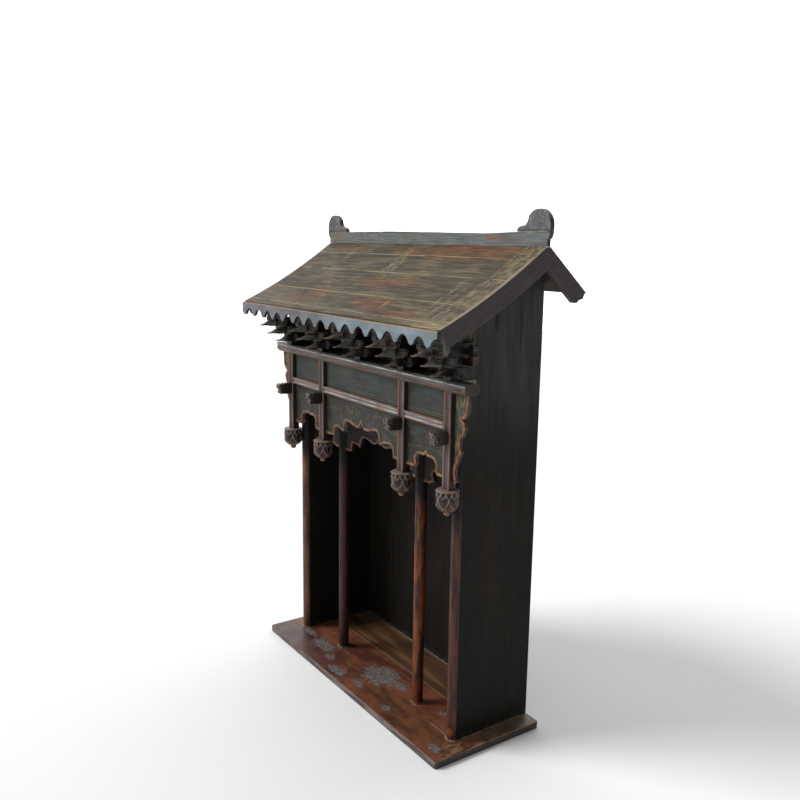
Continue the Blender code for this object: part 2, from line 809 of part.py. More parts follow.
# Fascia under the eave: pointed arched notches between round-ended tongues
def fascia_outline():
    low = eave_height - fascia_height
    notch_count = int((roof_width - notch_first) / notch_pitch) + 1
    half_notch = notch_width / 2
    tongue_side = low + notch_depth / 5
    points = [(-roof_half, eave_height), (-roof_half, low + notch_depth / 2)]
    for i in range(notch_count):
        peak = -roof_half + notch_first + i * notch_pitch
        left = peak - half_notch
        right = peak + half_notch
        before = points[-1]
        middle = (before[0] + left) / 2
        points += arc(before, (middle, low), -0.0007, 2)
        points += arc(points[-1], (left, tongue_side), -0.0007, 2)
        points += arc(points[-1], (peak, low + notch_depth), notch_swell, 4)
        if right < roof_half:
            points += arc(points[-1], (right, tongue_side), notch_swell, 4)
    points += [(roof_half, low + notch_depth), (roof_half, eave_height)]
    return points


plate("eave_fascia", fascia_outline(), "Y", eave_y, fascia_back, blue_paint)

# Ridge board, its top edge worn a little lower to the right
ridge_seat = roof_top(ridge_y) + fit
ridge_half = roof_half - ridge_board_inset
ridge_board_top = ridge_seat + ridge_board_height
crest = [(ridge_half * s, ridge_board_top + rise) for s, rise in (
    (0.80, 0.000), (0.55, -0.003), (0.20, -0.001), (-0.30, 0.0015), (-0.80, 0.000))]
plate("ridge_board", [(-ridge_half, ridge_seat), (ridge_half, ridge_seat), (ridge_half, ridge_board_top)]
      + crest + [(-ridge_half, ridge_board_top)],
      "Y", ridge_y - ridge_board_thick / 2, ridge_y + ridge_board_thick / 2, blue_paint)


# Finials: a round head that hangs over the end of the ridge board, and a stepped shoulder
def finial(name, sign):
    low = ridge_board_top + fit
    top = low + finial_height
    outer = ridge_half + finial_out
    inner = outer - finial_width
    points = bent_line((ridge_half + fit, low), [
        ((ridge_half + fit, low - finial_hang), 0, 1),
        ((outer - 0.0045, low - finial_hang + 0.003), 0, 1),
        ((outer, low - 0.001), -0.001, 2),
        ((outer, low + 0.020), -0.0006, 2),
        ((outer - 0.039, top), -0.009, 7),
        ((outer - 0.066, low + 0.031), -0.0035, 4),
        ((outer - 0.076, low + 0.0136), 0.0025, 4),
        ((inner + 0.0075, low + 0.0106), -0.0005, 2),
        ((inner, low), -0.002, 3),
    ])
    return plate(name, [(sign * x, z) for x, z in points], "Y",
                 ridge_y - finial_thick / 2, ridge_y + finial_thick / 2, blue_paint)


finial("left_finial", -1)
finial("right_finial", 1)
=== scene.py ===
import math

import bmesh
import bpy
from mathutils import Matrix, Vector


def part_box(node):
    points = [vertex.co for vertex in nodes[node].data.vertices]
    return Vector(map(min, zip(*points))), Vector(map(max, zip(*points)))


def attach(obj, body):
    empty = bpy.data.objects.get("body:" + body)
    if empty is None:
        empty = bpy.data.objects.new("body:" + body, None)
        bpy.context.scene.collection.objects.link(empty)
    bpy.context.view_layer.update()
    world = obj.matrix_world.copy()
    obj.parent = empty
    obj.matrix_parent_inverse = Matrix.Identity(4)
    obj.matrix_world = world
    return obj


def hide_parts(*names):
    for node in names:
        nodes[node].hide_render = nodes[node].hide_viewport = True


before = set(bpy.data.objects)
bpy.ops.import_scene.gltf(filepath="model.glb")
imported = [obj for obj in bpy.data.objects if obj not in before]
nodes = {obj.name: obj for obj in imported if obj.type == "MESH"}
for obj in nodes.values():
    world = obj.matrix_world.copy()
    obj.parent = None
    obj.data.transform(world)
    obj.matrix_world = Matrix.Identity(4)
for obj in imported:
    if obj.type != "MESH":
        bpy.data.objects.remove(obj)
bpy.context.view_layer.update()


# Colours and the node builder
# Every material below is a Finish: one Principled shader fed by patterns in real millimetres.
def linear(hex_colour):
    """An sRGB hex colour as linear red, green, blue and alpha."""
    parts = [int(hex_colour[i:i + 2], 16) / 255 for i in (0, 2, 4)]
    return [c / 12.92 if c <= 0.04045 else ((c + 0.055) / 1.055) ** 2.4 for c in parts] + [1.0]


edge_rounding = 0.0013


class Finish:
    """One material in the making; a mask below is a value that runs from 0 to 1."""

    def __init__(self, name):
        self.material = bpy.data.materials.new(name)
        self.material.use_nodes = True
        self.tree = self.material.node_tree
        self.shader = self.tree.nodes["Principled BSDF"]
        self.place = self.add("TexCoord", out="Object")
        self.x, self.y, self.z = self.add("SeparateXYZ", {0: self.place}, out=None).outputs
        normal = self.add("NewGeometry", out="Normal")
        self.facing = self.add("SeparateXYZ", {0: normal}, out=None).outputs
        self.colour = None
        self.height = 0.0

    def feed(self, node, inputs):
        """Set inputs of a node, each to a value or to another node's output."""
        for key, value in inputs.items():
            if isinstance(value, bpy.types.NodeSocket):
                self.tree.links.new(value, node.inputs[key])
            else:
                node.inputs[key].default_value = value

    def add(self, kind, inputs=None, out=0, **settings):
        """Add a shader node and return one of its outputs, or the node where out is None."""
        node = self.tree.nodes.new("ShaderNode" + kind)
        for key, value in settings.items():
            setattr(node, key, value)
        self.feed(node, inputs or {})
        return node if out is None else node.outputs[out]

    def maths(self, operation, a, b=0.0):
        """One step of arithmetic on values."""
        return self.add("Math", {0: a, 1: b}, operation=operation)

    def both(self, a, b):
        """The product: where both masks are, or a share of one."""
        return self.maths("MULTIPLY", a, b)

    def either(self, a, b):
        """The larger of two masks."""
        return self.maths("MAXIMUM", a, b)

    def ramp(self, value, low, high):
        """0 at low and 1 at high, smooth between; low may be the larger."""
        inputs = {"Value": value, "From Min": low, "From Max": high}
        return self.add("MapRange", inputs, interpolation_type="SMOOTHSTEP")

    def cells(self, size, along="Z", stretch=1.0, detail=3.0, shift=0.0, tilt=0.0):
        """Noise with cells of size mm, stretched along one axis; tilt turns them about X."""
        cell = [size / 1000 * (stretch if axis == along else 1) for axis in "XYZ"]
        place = {"Vector": self.place, "Location": (shift, shift, shift),
                 "Rotation": (tilt, 0, 0), "Scale": cell}
        moved = self.add("Mapping", place, vector_type="TEXTURE")
        return self.add("TexNoise", {"Vector": moved, "Scale": 1.0, "Detail": detail})

    def spots(self, low, high, *cells, **more):
        """A ramp over noise from low to high; what follows goes to cells."""
        return self.ramp(self.cells(*cells, **more), low, high)

    def band(self, value, middle, half, soft):
        """1 within half of middle, falling to 0 over soft more; all in metres."""
        away = self.maths("ABSOLUTE", self.maths("SUBTRACT", value, middle))
        return self.ramp(away, half + soft, half)

    def ring(self, middle, radius, half, soft):
        """A band along a circle round a place."""
        away = self.add("VectorMath", {0: self.place, 1: middle}, operation="SUBTRACT")
        length = self.add("VectorMath", {0: away}, out="Value", operation="LENGTH")
        return self.band(length, radius, half, soft)

    def patch(self, middle, reach, ragged=0.5, size=8.0):
        """1 inside an uneven oval round a place, with its half sizes in metres."""
        away = self.add("VectorMath", {0: self.place, 1: middle}, operation="SUBTRACT")
        scaled = self.add("VectorMath", {0: away, 1: [1 / r for r in reach]}, operation="MULTIPLY")
        length = self.add("VectorMath", {0: scaled}, out="Value", operation="LENGTH")
        uneven = self.both(self.maths("SUBTRACT", self.cells(size), 0.5), 2 * ragged)
        return self.ramp(self.maths("ADD", length, uneven), 1.1, 0.75)

    def edges(self, radius, breakup=9.0, much=0.5):
        """1 along worn edges, broken up by noise; radius in metres."""
        turned = self.add("Bevel", {"Radius": radius}, samples=4)
        flat = self.add("VectorMath", {0: turned, 1: self.add("NewGeometry", out="Normal")},
                        out="Value", operation="DOT_PRODUCT")
        bare = self.ramp(flat, 0.985, 0.88)
        return self.both(bare, self.spots(0.75 - much, 0.95 - much, breakup))

    def mix(self, factor, a, b):
        """Blend of two colours, each a hex text or a node's output."""
        a, b = (linear(c) if isinstance(c, str) else c for c in (a, b))
        return self.add("Mix", {0: factor, 6: a, 7: b}, out=2, data_type="RGBA")

    def tint(self, colour, mask, share, paint):
        """A colour with a share of another over it where the mask is."""
        return self.mix(self.both(mask, share), colour, paint)

    def coat(self, paint, mask, share=None):
        """Lay a colour over what is there where the mask is; share thins it."""
        factor = mask if share is None else self.both(mask, share)
        self.colour = self.mix(factor, self.colour, paint)

    def carve(self, value, depth):
        """Add to the relief: depth in metres for a value of 1."""
        self.height = self.maths("ADD", self.height, self.both(value, depth))

    def done(self, rough, gloss=0.35):
        """Join the colour, roughness and relief to the shader; relief rounds sharp edges."""
        self.feed(self.shader, {"Base Color": self.colour, "Roughness": rough,
                                "Specular IOR Level": gloss})
        if isinstance(self.height, bpy.types.NodeSocket):
            rounded = self.add("Bevel", {"Radius": edge_rounding}, samples=4)
            relief = {"Height": self.height, "Strength": 1.0, "Distance": 1.0, "Normal": rounded}
            self.feed(self.shader, {"Normal": self.add("Bump", relief)})
        return self.material


def dress(material, *names):
    """Give CAD nodes a material; a name ending in a star stands for all that start with it."""
    for pattern in names:
        for name, node in nodes.items():
            if name == pattern or (pattern.endswith("*") and name.startswith(pattern[:-1])):
                node.data.materials.clear()
                node.data.materials.append(material)


def add_piece(name, mesh, material):
    """A new piece of the shrine, already in the row frame."""
    piece = bpy.data.objects.new(name, mesh)
    bpy.context.scene.collection.objects.link(piece)
    mesh.materials.clear()
    mesh.materials.append(material)
    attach(piece, "root")
    return piece


# Base boards
# Two boards in reddish-brown lacquer, worn to orange wood at the right and blistered grey in
# patches; dust lies along the feet of the case and in the seam between the boards.
column_x, column_y = 0.1755, -0.0385
end_column_x, end_column_y = 0.3425, -0.0608
column_foot = 0.0145
wall_inside, wall_outside, wall_start = 0.3265, 0.3575, -0.060
back_front = 0.1385
blister_places = (
    (0.0205, -0.044, 0.058, 0.042), (-0.211, -0.082, 0.046, 0.022),
    (-0.064, -0.125, 0.034, 0.014), (0.094, -0.032, 0.022, 0.014),
    (0.0235, -0.114, 0.020, 0.010), (0.158, -0.119, 0.016, 0.009),
    (0.252, -0.018, 0.012, 0.009), (0.352, -0.119, 0.020, 0.011),
    (-0.30, -0.075, 0.030, 0.012), (-0.14, -0.104, 0.022, 0.012))


def base_lacquer():
    """Old lacquer: a soft sheen, mottled red and brown, blistered where it has been wet."""
    f = Finish("base_red_brown_lacquer")
    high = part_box("base_front_board")[1]
    top, seam = high.z, high.y
    f.colour = f.mix(f.spots(0.35, 0.65, 70, "X", 1.6, 5), "4f2b20", "774531")
    f.coat("7a5036", f.spots(0.5, 0.72, 24, "X", 2.5, 5, 3))
    mottle = f.spots(0.52, 0.70, 11, "X", 1.5, 5, 12)
    f.coat("2a1712", mottle, 0.45)
    worn = f.patch((0.205, -0.100, top), (0.21, 0.050, 0.05), 0.8, 42)
    golden = f.mix(f.spots(0.34, 0.62, 24, "X", 2.2, 5), "3f271c", "6c4527")
    f.coat(golden, worn, 0.85)
    faded = f.both(f.ramp(f.x, 0.02, -0.30), f.ramp(f.y, -0.05, -0.10))
    f.coat("331d16", faded, 0.7)
    corner = f.patch((0.385, 0.0, top), (0.040, 0.15, 0.05), 0.6, 22)
    strip = f.mix(f.spots(0.38, 0.62, 9, "Y", 3, 5, 31), "3a241b", "86694f")
    f.coat(strip, corner, 0.7)
    dusty = f.patch((0.385, 0.090, top), (0.030, 0.075, 0.02), 0.7, 14)
    f.coat("7f6c59", dusty, 0.65)
    oval = f.patch((0.385, 0.075, top), (0.012, 0.045, 0.02), 0.5, 12)
    f.coat("2c1a13", oval, 0.8)
    rear = f.ramp(f.y, seam - 0.0005, seam + 0.0005)
    brown = f.mix(f.spots(0.4, 0.65, 16, "X", 12, 4, 5), "41301f", "6d5338")
    f.coat(brown, rear, 0.8)
    blisters = 0.0
    for x, y, wide, deep in blister_places:
        blisters = f.either(blisters, f.patch((x, y, top), (wide, deep, 0.02), 0.8, 14))
    curls = f.maths("ABSOLUTE", f.maths("SUBTRACT", f.cells(7, detail=3, shift=5), 0.5))
    curls = f.either(f.ramp(curls, 0.045, 0.012), f.spots(0.56, 0.66, 4, detail=4, shift=7))
    f.coat(f.mix(f.cells(12, detail=4), "3a3635", "5f5b59"), blisters, 0.75)
    islands = f.both(blisters, curls)
    f.coat("8d8e8b", islands, 0.8)
    dust = f.either(f.band(f.y, seam, 0.0004, 0.0010), f.band(f.y, back_front, 0.0015, 0.003))
    for side in (-1, 1):
        beside = f.ramp(f.y, wall_start - 0.005, wall_start + 0.005)
        wall = f.both(f.band(f.x, side * wall_inside, 0.0012, 0.003), beside)
        outer = f.both(f.band(f.x, side * wall_outside, 0.0016, 0.0030), beside)
        dust = f.either(dust, f.either(wall, outer))
        foot = f.ring((side * column_x, column_y, top), column_foot, 0.001, 0.003)
        dust = f.either(dust, foot)
        foot = f.ring((side * end_column_x, end_column_y, top), column_foot, 0.001, 0.003)
        dust = f.either(dust, f.both(foot, f.ramp(f.y, wall_start, wall_start - 0.003)))
    dust = f.both(dust, f.spots(0.35, 0.6, 6, detail=4, shift=2))
    crack = f.both(f.band(f.y, -0.067, 0.0003, 0.0008), f.band(f.x, 0.312, 0.035, 0.02))
    joint = f.both(f.band(f.y, 0.0095, 0.0004, 0.0010), f.ramp(f.x, 0.357, 0.360))
    scratch = f.spots(0.70, 0.78, 1.6, "X", 45, 2, 9)
    pale = f.either(f.both(dust, 0.75), f.either(crack, f.both(scratch, 0.25)))
    f.coat("948a7c", f.either(pale, f.both(joint, 0.7)))
    rim = f.ramp(f.z, top - 0.0006, top - 0.002)
    side_tone = f.mix(f.spots(0.4, 0.62, 7, "X", 9, 4, 7), "38302d", "6d635d")
    side_tone = f.mix(f.spots(0.5, 0.7, 20, "X", 2, 4, 8), side_tone, "443024")
    # Painted shade: the end faces turned to the right (+X) are darkened.
    ends = f.ramp(f.facing[0], 0.5, 0.8)
    side_tone = f.tint(side_tone, ends, 0.85, f.mix(f.cells(9, "Y", 4, 4), "100d0c", "2b2420"))
    f.coat(side_tone, rim)
    worn_edge = f.edges(0.003, 12, 0.40)
    f.coat("8b7160", worn_edge, 0.7)
    f.carve(f.cells(40, "X", 2, 4), 0.0012)
    f.carve(f.cells(2.5, "X", 14, 3), 0.00012)
    f.carve(f.both(islands, f.cells(4, detail=2)), 0.0012)
    f.carve(crack, -0.0006)
    rough = f.maths("ADD", f.both(f.cells(30, detail=4), 0.35), 0.28)
    rough = f.maths("MAXIMUM", rough, f.both(f.either(blisters, pale), 0.75))
    return f.done(rough, 0.45)


dress(base_lacquer(), "base_*")


# Case boards
# Side panels and back are near-black stained boards with upright grain; the wood shows
# greyer under the roof, reddish where hands have rubbed it, with fine pale scratches.
def stained_board(name, dark, light):
    """Dark stain over upright grain, almost matt."""
    f = Finish(name)
    grain = f.cells(3.0, "Z", 55, 4)
    f.colour = f.mix(f.ramp(grain, 0.30, 0.72), dark, light)
    rubbed = f.both(f.spots(0.50, 0.70, 75, "Z", 2.2, 4), f.band(f.z, 0.50, 0.14, 0.18))
    f.coat("2c1f1a", rubbed, 0.45)
    green = f.spots(0.5, 0.7, 110, "Z", 2.5, 3, 4)
    f.coat("171a13", green, 0.4)
    bare = f.ramp(f.z, 0.60, 0.95)
    weathered = f.mix(f.spots(0.34, 0.66, 4.0, "Z", 30, 4, 2), "2f2e2f", "424040")
    weathered = f.mix(f.spots(0.45, 0.65, 38, "Z", 5, 4, 6), weathered, "474545")
    f.coat(weathered, bare, 0.85)
    # Painted shadow of the roof overhang: darker at the top, its edge falling towards the front
    # like the roof.
    painted_eave_shadow = f.ramp(f.maths("ADD", f.z, f.both(f.y, -0.55)), 0.985, 1.06)
    f.coat("151313", painted_eave_shadow, 0.32)
    crack = f.both(f.spots(0.72, 0.76, 5.0, "Z", 60, 2, 8), bare)
    f.coat("0b0908", crack)
    knot = f.patch((0.356, 0.020, 0.958), (0.02, 0.006, 0.020), 0.5, 5)
    f.coat("171311", knot, 0.8)
    scratch = f.spots(0.75, 0.80, 1.3, "Z", 22, 2, 6)
    f.coat("57534c", scratch, 0.22)
    pits = f.spots(0.76, 0.80, 3.0, "Z", 1.5, 2, 14)
    f.coat("6a655c", pits, 0.3)
    foot = f.both(f.ramp(f.z, 0.034, 0.019), f.spots(0.4, 0.6, 10, detail=4, shift=1))
    f.coat("5a5148", foot, 0.4)
    f.coat("4c3f35", f.edges(0.0025, 14, 0.42), 0.5)
    f.carve(grain, 0.00012)
    f.carve(f.cells(60, "Z", 3, 3), 0.0012)
    f.carve(crack, -0.0007)
    rough = f.maths("ADD", f.both(f.cells(22, "Z", 4, 4, 3), 0.25), 0.42)
    return f.done(rough, 0.12)


dress(stained_board("side_dark_stain", "11110e", "181813"), "left_side_*", "right_side_*")
dress(stained_board("back_brown_stain", "141310", "221e1a"), "back_board_*")


# Columns
# Turned wood in red-brown lacquer, blackened at the top by smoke and dusty at the foot. The
# inner pair is worn to orange, the left one painted darker as shade; the end ones are duller,
# with pale knocks.
def column_lacquer():
    """Worn lacquer over turned wood, half glossy."""
    f = Finish("column_red_brown_lacquer")
    f.colour = f.mix(f.spots(0.38, 0.64, 26, "Z", 3.5, 5), "281611", "462418")
    orange = f.spots(0.40, 0.60, 13, "Z", 5, 5, 2)
    inner = f.band(f.x, column_x, 0.02, 0.01)
    orange = f.both(orange, f.maths("ADD", f.both(inner, 0.6), 0.25))
    f.coat("823f18", orange)
    yellow = f.both(f.spots(0.58, 0.70, 9, "Z", 9, 4, 6), inner)
    f.coat("8a5a2a", yellow, 0.6)
    dull = f.ramp(f.x, 0.31, 0.33)
    duller = f.mix(f.spots(0.38, 0.64, 9, "Z", 8, 4, 5), "261713", "5c3021")
    f.coat(duller, dull, 0.8)
    # Painted shade: the left inner column is darkened.
    left = f.band(f.x, -column_x, 0.02, 0.01)
    f.coat("110b09", left, 0.6)
    end = f.ramp(f.x, -0.31, -0.33)
    mottled = f.mix(f.spots(0.38, 0.62, 7, "Z", 14, 5, 23), "4a3128", "9a6d52")
    f.coat(mottled, end, 0.45)
    height = f.maths("ADD", f.z, f.both(f.cells(45, "Z", 2, 3), 0.06))
    f.coat("0d0d0e", f.ramp(height, 0.52, 0.58), 0.95)
    knocks = f.spots(0.71, 0.77, 4, "Z", 2.2, 3, 7)
    f.coat("8a7763", knocks, 0.6)
    chips = f.spots(0.69, 0.74, 7, "Z", 3, 3, 11)
    f.coat("16100e", chips, 0.8)
    foot = f.patch((0.348, -0.072, 0.036), (0.009, 0.008, 0.010), 0.6, 5)
    f.coat("834a24", foot, 0.8)
    dust = f.both(f.ramp(f.z, 0.024, 0.018), f.spots(0.35, 0.6, 5, detail=3))
    f.coat("8a8072", dust, 0.7)
    f.carve(f.cells(30, "Z", 3, 4), 0.0009)
    f.carve(f.cells(2.2, "Z", 20, 3), 0.00022)
    f.carve(chips, -0.0004)
    rough = f.maths("ADD", f.both(f.cells(12, "Z", 4, 4), 0.4), 0.26)
    rough = f.maths("ADD", rough, f.both(f.ramp(height, 0.50, 0.60), 0.25))
    return f.done(rough, 0.3)


dress(column_lacquer(), "left_end_column", "left_inner_column", "right_inner_column",
      "right_end_column")


# Hood frame
# Posts and rails share one moulding: a pale grey hollow between beads that are rubbed to the
# orange-brown of the wood. Thin lines mark where the post tenons cross the top rail.
post_numbers = (1, 2, 3, 4)
post_places = [sum(corner.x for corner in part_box("hanging_post_%d" % number)) / 2
               for number in post_numbers]


def streaked(f, dark, light, along):
    """Paint with grain streaks and flecks along an axis."""
    paint = f.mix(f.spots(0.30, 0.70, 2.4, along, 24, 4), dark, light)
    return f.mix(f.both(f.spots(0.55, 0.72, 6, along, 6, 4, 3), 0.5), paint, dark)


def stripes(f, value, start, parts):
    """Colours in stripes along a value that falls from start; parts holds (width, colour)."""
    colour, edge = parts[0][1], start
    for (width, _), (_, following) in zip(parts, parts[1:]):
        edge -= width
        colour = f.mix(f.ramp(value, edge + 0.0003, edge - 0.0003), colour, following)
    return colour


def bead_tone(f, along, shift):
    """Pinkish to orange rubbed wood on a bead, greyed here and there."""
    tone = f.mix(f.spots(0.35, 0.62, 5, along, 10, 4, shift), "493730", "7d675c")
    orange = f.spots(0.44, 0.58, 12, along, 8, 4, shift + 3)
    tone = f.tint(tone, orange, 0.75, "8a5028")
    grey = f.spots(0.50, 0.64, 9, along, 5, 4, shift + 6)
    return f.tint(tone, grey, 0.6, "5d524c")


def post_paint():
    """Grey-mauve paint in the hollow, rubbed beads, flanks painted dark as shade."""
    f = Finish("post_grey_mauve_paint")
    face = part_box("hanging_post_1")[0].y
    hollow = streaked(f, "3a3332", "5a5151", "Z")
    hollow = f.tint(hollow, f.spots(0.5, 0.66, 14, "Z", 4, 4, 9), 0.5, "5f544f")
    bead = f.ramp(f.y, face + 0.0012, face + 0.0006)
    f.colour = f.mix(bead, hollow, bead_tone(f, "Z", 2))
    # Painted shade: the side faces of the posts are darkened.
    flank = f.ramp(f.maths("ABSOLUTE", f.facing[0]), 0.75, 0.95)
    f.coat(streaked(f, "161311", "2a2420", "Z"), flank)
    f.coat("8a766a", f.edges(0.0015, 8, 0.5), 0.45)
    f.carve(f.cells(2.0, "Z", 20, 3), 0.00018)
    f.carve(f.cells(20, "Z", 3, 3), 0.0004)
    return f.done(0.52, 0.35)


def rail_paint(name, node, top_rail):
    """Pale lines painted along the beads as highlights, grey hollow, orange-brown below."""
    f = Finish(name)
    low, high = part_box(node)
    # Painted highlight: the pale line stands for light caught on the beads.
    line = f.mix(f.spots(0.36, 0.62, 4, "X", 12, 4, 2), "6f6963", "c6c2bc")
    brown = f.both(f.ramp(f.x, 0.05, -0.25), 0.55)
    line = f.mix(brown, line, f.mix(f.spots(0.4, 0.6, 9, "X", 8, 3, 8), "5d4c42", "83634c"))
    hollow = streaked(f, "414343", "6a6e70", "X")
    hollow = f.mix(brown, hollow, streaked(f, "473934", "775f56", "X"))
    pale = f.spots(0.45, 0.65, 60, "X", 4, 4, 9)
    if top_rail:
        hollow = f.mix(f.maths("ADD", f.both(pale, -0.4), 0.6), hollow, "454645")
        f.colour = stripes(f, f.z, high.z, (
            (0.0040, streaked(f, "34362f", "55564d", "X")), (0.0032, line), (0.0058, hollow),
            (0.0022, bead_tone(f, "X", 8)), (0.0014, "17110e"), (0.0024, bead_tone(f, "X", 4)),
            (0.0, streaked(f, "2c201a", "4d382c", "X"))))
        lines = 0.0
        for x in post_places:
            away = f.maths("SUBTRACT", f.x, x - 0.003)
            lines = f.either(lines, f.band(away, 0.0, 0.0005, 0.0006))
            lines = f.either(lines, f.both(f.band(away, 0.015, 0.0003, 0.0006), 0.6))
            patch = f.both(f.band(away, 0.006, 0.008, 0.002), 0.55)
            f.coat(streaked(f, "3b3336", "625558", "X"), patch)
        f.coat("15100e", lines, 0.85)
        f.carve(lines, -0.0006)
        top = f.ramp(f.facing[2], 0.8, 0.95)
        f.coat(streaked(f, "2c2d27", "4f5047", "X"), top)
        end = f.ramp(f.maths("ABSOLUTE", f.facing[0]), 0.8, 0.95)
        end_grain = f.mix(f.spots(0.4, 0.6, 3, detail=4), "1b1311", "31251f")
        f.coat(end_grain, end)
    else:
        hollow = f.tint(hollow, pale, 0.6, "7b7d80")
        f.colour = stripes(f, f.z, high.z, (
            (0.0032, bead_tone(f, "X", 1)), (0.0022, line), (0.0060, hollow), (0.0016, line),
            (0.0, bead_tone(f, "X", 4))))
        away = 1.0
        for x in post_places:
            away = f.add("Math", {0: away, 1: f.maths("ABSOLUTE", f.maths("SUBTRACT", f.x, x))},
                         operation="MINIMUM")
        slope = f.maths("ABSOLUTE", f.maths("SUBTRACT", f.z, (low.z + high.z) / 2))
        mitre = f.maths("SUBTRACT", f.maths("SUBTRACT", away, 0.012), slope)
        f.coat("241a16", f.band(mitre, 0.0, 0.0004, 0.0006), 0.8)
        f.coat(streaked(f, "42393a", "6d5f5c", "Z"), f.ramp(mitre, 0.0, -0.0006), 0.6)
    f.coat("b4a89a", f.edges(0.0015, 8, 0.40), 0.5)
    f.carve(f.cells(2.0, "X", 24, 3), 0.00018)
    f.carve(f.cells(26, "X", 4, 3), 0.0005)
    return f.done(0.48, 0.4)


def ledge_paint():
    """Dusty grey-brown board."""
    f = Finish("ledge_dusty_grey")
    f.colour = streaked(f, "4a4c47", "7b7d74", "X")
    f.coat("7a7064", f.edges(0.002, 9, 0.45), 0.5)
    f.carve(f.cells(2.4, "X", 20, 3), 0.0003)
    return f.done(0.6, 0.3)


dress(post_paint(), "hanging_post_*")
dress(rail_paint("lower_rail_pale_paint", "lower_rail_middle", False), "lower_rail_*")
dress(rail_paint("top_rail_pale_paint", "hood_top_rail", True), "hood_top_rail")
dress(ledge_paint(), "ledge_board")


# Hood panels and aprons
# Thin boards in slate blue-green with the grain along them, yellow traces on the middle
# apron; a raised bead, orange-brown where the paint has gone, follows every carved edge.
def slate_paint(name, shade):
    """Thin, dry slate paint that has sunk into the grain; shade darkens it as painted shade."""
    f = Finish(name)
    f.colour = streaked(f, "262927", "3a3e3a", "X")
    blotch = f.spots(0.40, 0.64, 9, "X", 2.5, 5, 25)
    f.coat("424640", blotch, 0.35)
    soft = f.spots(0.42, 0.68, 34, "X", 2, 4, 6)
    f.coat("43453c", soft, 0.55)
    blue = f.spots(0.50, 0.68, 50, "X", 2, 3, 15)
    f.coat("434d53", blue, 0.35)
    left = f.ramp(f.x, -0.15, -0.30)
    f.coat("2d2b29", left, 0.35)
    low_part = f.ramp(f.z, 0.745, 0.715)
    brown = f.both(low_part, f.spots(0.32, 0.58, 12, "X", 2, 5, 9))
    f.coat("2c261a", brown, 0.85)
    spots = f.both(f.spots(0.60, 0.68, 5, "X", 1.6, 4, 4),
                   f.spots(0.45, 0.6, 40, detail=3, shift=8))
    yellow = f.both(spots, f.both(low_part, f.ramp(f.z, 0.655, 0.675)))
    f.coat("8a7236", yellow, 0.8)
    upper = f.ramp(f.z, 0.748, 0.752)
    lines = f.either(f.band(f.z, 0.7555, 0.0006, 0.0008), f.band(f.z, 0.7610, 0.0004, 0.0008))
    lines = f.both(f.both(lines, upper), f.spots(0.40, 0.58, 30, "X", 4, 4, 11))
    f.coat("7b7a6c", lines, 0.35)
    fleck = f.spots(0.72, 0.77, 2.2, "X", 7, 2, 12)
    f.coat("777a74", fleck, 0.4)
    edge = f.ramp(f.maths("ABSOLUTE", f.facing[1]), 0.8, 0.5)
    f.coat(bead_tone(f, "Y", 5), edge)
    f.coat("18130c", shade)
    f.carve(f.cells(2.2, "X", 18, 4), 0.00016)
    f.carve(f.cells(24, "X", 5, 3), 0.0006)
    return f.done(0.62, 0.3)


def wing_paint():
    """Green paint with loose yellow strokes that run up the board."""
    f = Finish("wing_green_paint")
    f.colour = streaked(f, "252c28", "4f5a50", "Z")
    mottle = f.spots(0.48, 0.62, 9, "Z", 2, 4, 18)
    f.coat("2e3230", mottle, 0.6)
    strokes = f.spots(0.46, 0.60, 6, "Z", 2.6, 4, 5)
    places = f.either(f.band(f.z, 0.695, 0.028, 0.02), f.band(f.z, 0.795, 0.010, 0.010))
    strokes = f.both(strokes, f.either(places, 0.25))
    f.coat("8f7c33", strokes, 0.75)
    blue = f.spots(0.52, 0.66, 10, "Z", 3, 3, 8)
    f.coat("4b5f66", blue, 0.4)
    # Painted shadow: a dark line on each wing beside its post, where the post shades the board.
    for side in (-1, 1):
        dark = f.band(f.x, side * 0.3665, 0.0010, 0.0016)
        f.coat("15130f", dark, 0.8)
    edge = f.ramp(f.maths("ABSOLUTE", f.facing[1]), 0.8, 0.5)
    f.coat(f.mix(f.spots(0.35, 0.65, 6, "Z", 4, 4, 3), "2c2322", "4b3c38"), edge)
    f.carve(f.cells(2.2, "Z", 20, 4), 0.0003)
    return f.done(0.6, 0.3)


def bead_paint(name, dark, light, gold, shade):
    """Bare orange-brown wood on the raised beads, with dirt; the flanks are painted dark as shade.

    gold is the share of yellow at the right end, and shade how much painted shade darkens it.
    """
    f = Finish(name)
    f.colour = f.mix(f.spots(0.36, 0.64, 7, detail=4), dark, light)
    yellow = f.both(f.ramp(f.x, 0.19, 0.21), f.spots(0.40, 0.55, 18, detail=3, shift=12))
    f.coat("8a5f25", f.both(yellow, gold))
    rubbed = f.spots(0.58, 0.70, 3, detail=3, shift=4)
    f.coat("a98b6c", rubbed, 0.5)
    dirt = f.spots(0.52, 0.66, 10, detail=4, shift=8)
    f.coat("2f2a23", dirt, 0.75)
    # Painted shade: the flanks that turn away from the front are darkened.
    flank = f.ramp(f.facing[1], -0.80, -0.45)
    f.coat("271e17", flank, 0.75)
    f.coat("1d1812", shade)
    f.carve(f.cells(4, detail=3), 0.0004)
    return f.done(0.5, 0.4)


